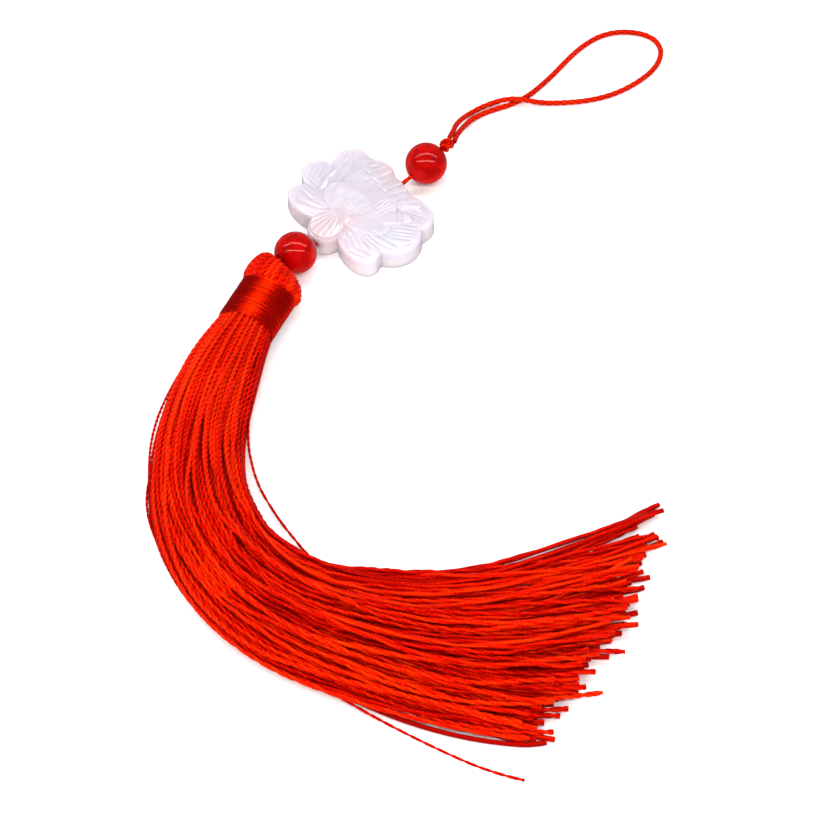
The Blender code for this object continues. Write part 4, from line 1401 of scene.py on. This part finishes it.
class PENDANT_OT_stage(bpy.types.Operator):
    """Make the pale floor, the soft lights and the camera"""

    bl_idname = "pendant.stage"
    bl_label = "Stage"

    def execute(self, context):
        self.add_camera(context.scene)
        self.add_floor(context.scene)
        self.add_lights(context.scene)
        return {"FINISHED"}

    def add_camera(self, scene):
        camera = bpy.data.objects.new("camera", bpy.data.cameras.new("camera"))
        camera.data.lens = CAMERA_LENS_MM
        camera.data.sensor_width = 36.0
        camera.data.clip_start = 0.01
        camera.location = CAMERA_PLACE
        aim = Vector(CAMERA_AIM) - Vector(CAMERA_PLACE)
        camera.rotation_euler = aim.to_track_quat("-Z", "Y").to_euler()
        scene.collection.objects.link(camera)
        scene.camera = camera
        scene.view_settings.view_transform = "Standard"

    def add_floor(self, scene):
        mesh = bpy.data.meshes.new("floor")
        corners = [(x * FLOOR_HALF, y * FLOOR_HALF, 0.0) for x, y in ((-1, -1), (1, -1), (1, 1), (-1, 1))]
        mesh.from_pydata(corners, [], [(0, 1, 2, 3)])
        mesh.materials.append(new_material("pale_floor", FLOOR_COLOUR, 0.9, Specular_IOR_Level=0.0)[0])
        ground = bpy.data.objects.new("floor", mesh)
        ground.location.z = FLOOR_LEVEL
        ground.visible_glossy = False
        scene.collection.objects.link(ground)

    def add_lights(self, scene):
        stage = scene.pendant.stage
        world = bpy.data.worlds.new("soft_sky")
        world.use_nodes = True
        sky = world.node_tree.nodes["Background"].inputs
        sky["Color"].default_value = (1.0, 1.0, 1.0, 1.0)
        sky["Strength"].default_value = stage.sky
        scene.world = world
        aim = Vector(CAMERA_AIM)
        run = [CAMERA_AIM[axis] - CAMERA_PLACE[axis] for axis in (0, 1)]
        away = Vector((*run, 0.0)).normalized()
        right = Vector((away.y, -away.x, 0.0))
        for name, (back, height, wide, deep, shift) in LAMPS.items():
            lamp = bpy.data.lights.new(name, "AREA")
            lamp.shape = "RECTANGLE"
            lamp.size = wide
            lamp.size_y = deep
            lamp.energy = getattr(stage, name.split("_")[0] + "_power")
            place = aim + away * back + right * shift + Vector((0.0, 0.0, height))
            facing = (aim - place).normalized()
            level = (right - right.dot(facing) * facing).normalized()
            holder = bpy.data.objects.new(name, lamp)
            turn = Matrix((level, level.cross(facing), -facing)).transposed()
            holder.rotation_euler = turn.to_euler()
            holder.location = place
            holder.visible_glossy = name.startswith("strip")
            scene.collection.objects.link(holder)


class PENDANT_OT_loop(bpy.types.Operator):
    """Make the hanging loop of braided cord"""

    bl_idname = "pendant.loop"
    bl_label = "Hanging loop"

    def execute(self, context):
        cord = context.scene.pendant.cord
        radius = cord.diameter / 2
        line = even_points(LOOP_ROUTE, LOOP_POINTS, radius / MM + LOOP_CLEARANCE)
        mesh = cord_mesh("hanging_loop_cord", [line], radius, cord)
        piece = finish_piece("hanging_loop_cord", mesh, cord_finish(cord), "hanging_loop")
        return {"FINISHED"}


class PENDANT_OT_knot(bpy.types.Operator):
    """Make the knot and the doubled string inside the beads"""

    bl_idname = "pendant.knot"
    bl_label = "Knot and string"

    def execute(self, context):
        cord = context.scene.pendant.cord
        axis = bead_axis(1)
        middle = bead_middle(1) + axis * KNOT_FROM_BEAD
        other = np.cross(axis, RIGHT)
        turns = np.linspace(0.0, TAU, KNOT_POINTS, endpoint=False)
        lines = []
        for phase, lift in KNOT_RINGS:
            ring = KNOT_REACH[0] + KNOT_REACH[1] * np.cos(3 * turns + phase)
            lines.append(
                middle
                + (ring * np.cos(2 * turns))[:, None] * RIGHT
                + (ring * np.sin(2 * turns))[:, None] * other
                + (KNOT_HEIGHT * np.sin(3 * turns + phase) + lift)[:, None] * axis
            )
        mesh = cord_mesh("knot_turns", lines, KNOT_CORD_RADIUS, cord, 0.0002, 10)
        finish_piece("knot_turns", mesh, cord_finish(cord), "top_knot")
        top, low = bead_middle(1), bead_middle(-1)
        dimple = HEAD_RINGS[1]
        route = (
            top + axis * STRING_ABOVE_BEAD,
            top,
            top - axis * STRING_BEND_IN_BEAD,
            (0.0, STRING_BEND_IN_PLAQUE, PLAQUE_BORE_HEIGHT),
            (0.0, 0.0, PLAQUE_BORE_HEIGHT),
            (0.0, -STRING_BEND_IN_PLAQUE, PLAQUE_BORE_HEIGHT),
            low - bead_axis(-1) * STRING_BEND_IN_BEAD,
            low,
            low + bead_axis(-1) * STRING_BEND_IN_BEAD,
            head_points(np.array(dimple[0]), np.array(dimple[4]), np.array(dimple[3])),
        )
        line = even_points(route, STRING_POINTS)
        twist = np.linspace(0.0, STRING_TWIST, len(line))
        offset = np.stack(
            (STRING_SPACING * np.cos(twist), 0.0 * twist, STRING_SPACING * np.sin(twist)), axis=1
        )
        lines = [line + offset, line - offset]
        mesh = cord_mesh("string_pair", lines, STRING_RADIUS, cord, 0.0003, 12)
        finish_piece("string_pair", mesh, cord_finish(cord), "stringing_cord")
        return {"FINISHED"}


class PENDANT_OT_beads(bpy.types.Operator):
    """Make the two polished beads"""

    bl_idname = "pendant.beads"
    bl_label = "Beads"

    def execute(self, context):
        finish = bead_material(list(context.scene.pendant.stone.bead))
        for name, side, node in (("bead_upper", 1, "bead_top"), ("bead_lower", -1, "bead_bottom")):
            points, rings = bead_points(side)
            mesh = mesh_from_points(name, points, ring_faces(rings, BEAD_SIDES, poles=False))
            finish_piece(name, mesh, finish, node)
        return {"FINISHED"}


class PENDANT_OT_flower(bpy.types.Operator):
    """Carve the flower plaque"""

    bl_idname = "pendant.flower"
    bl_label = "Carved flower"

    def execute(self, context):
        stone = context.scene.pendant.stone
        colours = (stone.pale, stone.warm, stone.cool, stone.wall)
        finish = stone_material(*(list(colour) for colour in colours))
        points, rings = plaque_points(stone.face_rings, stone.face_sides)
        mesh = mesh_from_points("flower_carving", points, ring_faces(rings, stone.face_sides))
        piece = finish_piece("flower_carving", mesh, finish, "flower_plate")
        piece.data = bored(piece, finish)
        return {"FINISHED"}


class PENDANT_OT_head(bpy.types.Operator):
    """Make the folded-yarn head and the wound neck"""

    bl_idname = "pendant.head"
    bl_label = "Head and winding"

    def execute(self, context):
        yarn = context.scene.pendant.yarn
        thread = context.scene.pendant.thread
        points, rings = core_points()
        mesh = mesh_from_points("head_core", points, ring_faces(rings, HEAD_SIDES))
        # The core is painted in the yarn's deep red: painted shade where it shows between the folds.
        core = yarn_material("deep_yarn_core", yarn.deep, (0.25, 0.002, 0.001), 0.6, 3000.0)
        finish_piece("head_core", mesh, core, "tassel")
        strand_piece("head_folds", folded_strands(yarn), FOLD_RING_STEP, yarn)
        wound = yarn_material("red_wound_thread", thread.lit, thread.deep, 0.3, 6000.0, 0.4)
        pitch = (BINDING_END - BINDING_START) / thread.turns
        start = np.array(BINDING_START + pitch / 2)
        values = {
            "Turns": thread.turns,
            "Steps a turn": BINDING_STEPS,
            "Thread": pitch * MM,
            "Half width": (BINDING_HALF_WIDTH - pitch / 2) * MM,
            "Half height": (BINDING_HALF_HEIGHT - pitch / 2) * MM,
            "Start": tuple(head_points(start, np.array(0.0), np.array(NECK_HEIGHT)) * MM),
            "Axis": HEAD_AXIS,
            "Sideways": HEAD_SIDEWAYS,
            "Lowest": pitch * BINDING_LOWEST * MM,
            "Unevenness": thread.unevenness,
            "Finish": wound,
        }
        mesh = made_by_nodes("wound_neck", bpy.data.meshes.new("wound_neck"), wound_thread, values)
        finish_piece("wound_neck", mesh, wound, "binding")
        return {"FINISHED"}


class PENDANT_OT_skirt(bpy.types.Operator):
    """Lay the skirt's strands"""

    bl_idname = "pendant.skirt"
    bl_label = "Skirt"

    def execute(self, context):
        yarn = context.scene.pendant.yarn
        strands = skirt_strands(yarn)
        upper = [strand for strand in strands if strand.up > UNDER_LEVEL]
        under = [strand for strand in strands if strand.up <= UNDER_LEVEL]
        upper.sort(key=lambda strand: strand.across)
        share = math.ceil(len(upper) / 3)
        for k, name in enumerate(("skirt_outer", "skirt_middle", "skirt_inner")):
            strand_piece(name, upper[k * share : (k + 1) * share], UPPER_RING_STEP, yarn)
        strand_piece("skirt_under", under, UNDER_RING_STEP, yarn, plain=True)
        return {"FINISHED"}


class PENDANT_PT_panel(bpy.types.Panel):
    """The pendant's settings and pieces"""

    bl_label = "Tassel pendant"
    bl_idname = "PENDANT_PT_panel"
    bl_space_type = "VIEW_3D"
    bl_region_type = "UI"
    bl_category = "Pendant"

    def draw(self, context):
        layout = self.layout
        for name in PendantSettings.__annotations__:
            box = layout.box()
            box.label(text=name.capitalize())
            settings = getattr(context.scene.pendant, name)
            for key in type(settings).__annotations__:
                box.prop(settings, key)
        for operator in OPERATORS:
            layout.operator(operator.bl_idname)


OPERATORS = (
    PENDANT_OT_stage,
    PENDANT_OT_loop,
    PENDANT_OT_knot,
    PENDANT_OT_beads,
    PENDANT_OT_flower,
    PENDANT_OT_head,
    PENDANT_OT_skirt,
)
CLASSES = (
    PendantYarnSettings,
    PendantThreadSettings,
    PendantCordSettings,
    PendantStoneSettings,
    PendantStageSettings,
    PendantSettings,
    *OPERATORS,
    PENDANT_PT_panel,
)


def register():
    """Register the classes and put the settings on the scene."""
    for item in CLASSES:
        bpy.utils.register_class(item)
    bpy.types.Scene.pendant = PointerProperty(type=PendantSettings)


def unregister():
    """Take the settings and the classes away again."""
    del bpy.types.Scene.pendant
    for item in reversed(CLASSES):
        bpy.utils.unregister_class(item)


def main():
    """Register the classes and make every piece."""
    register()
    for operator in OPERATORS:
        group, name = operator.bl_idname.split(".")
        getattr(getattr(bpy.ops, group), name)()


if __name__ == "__main__":
    main()
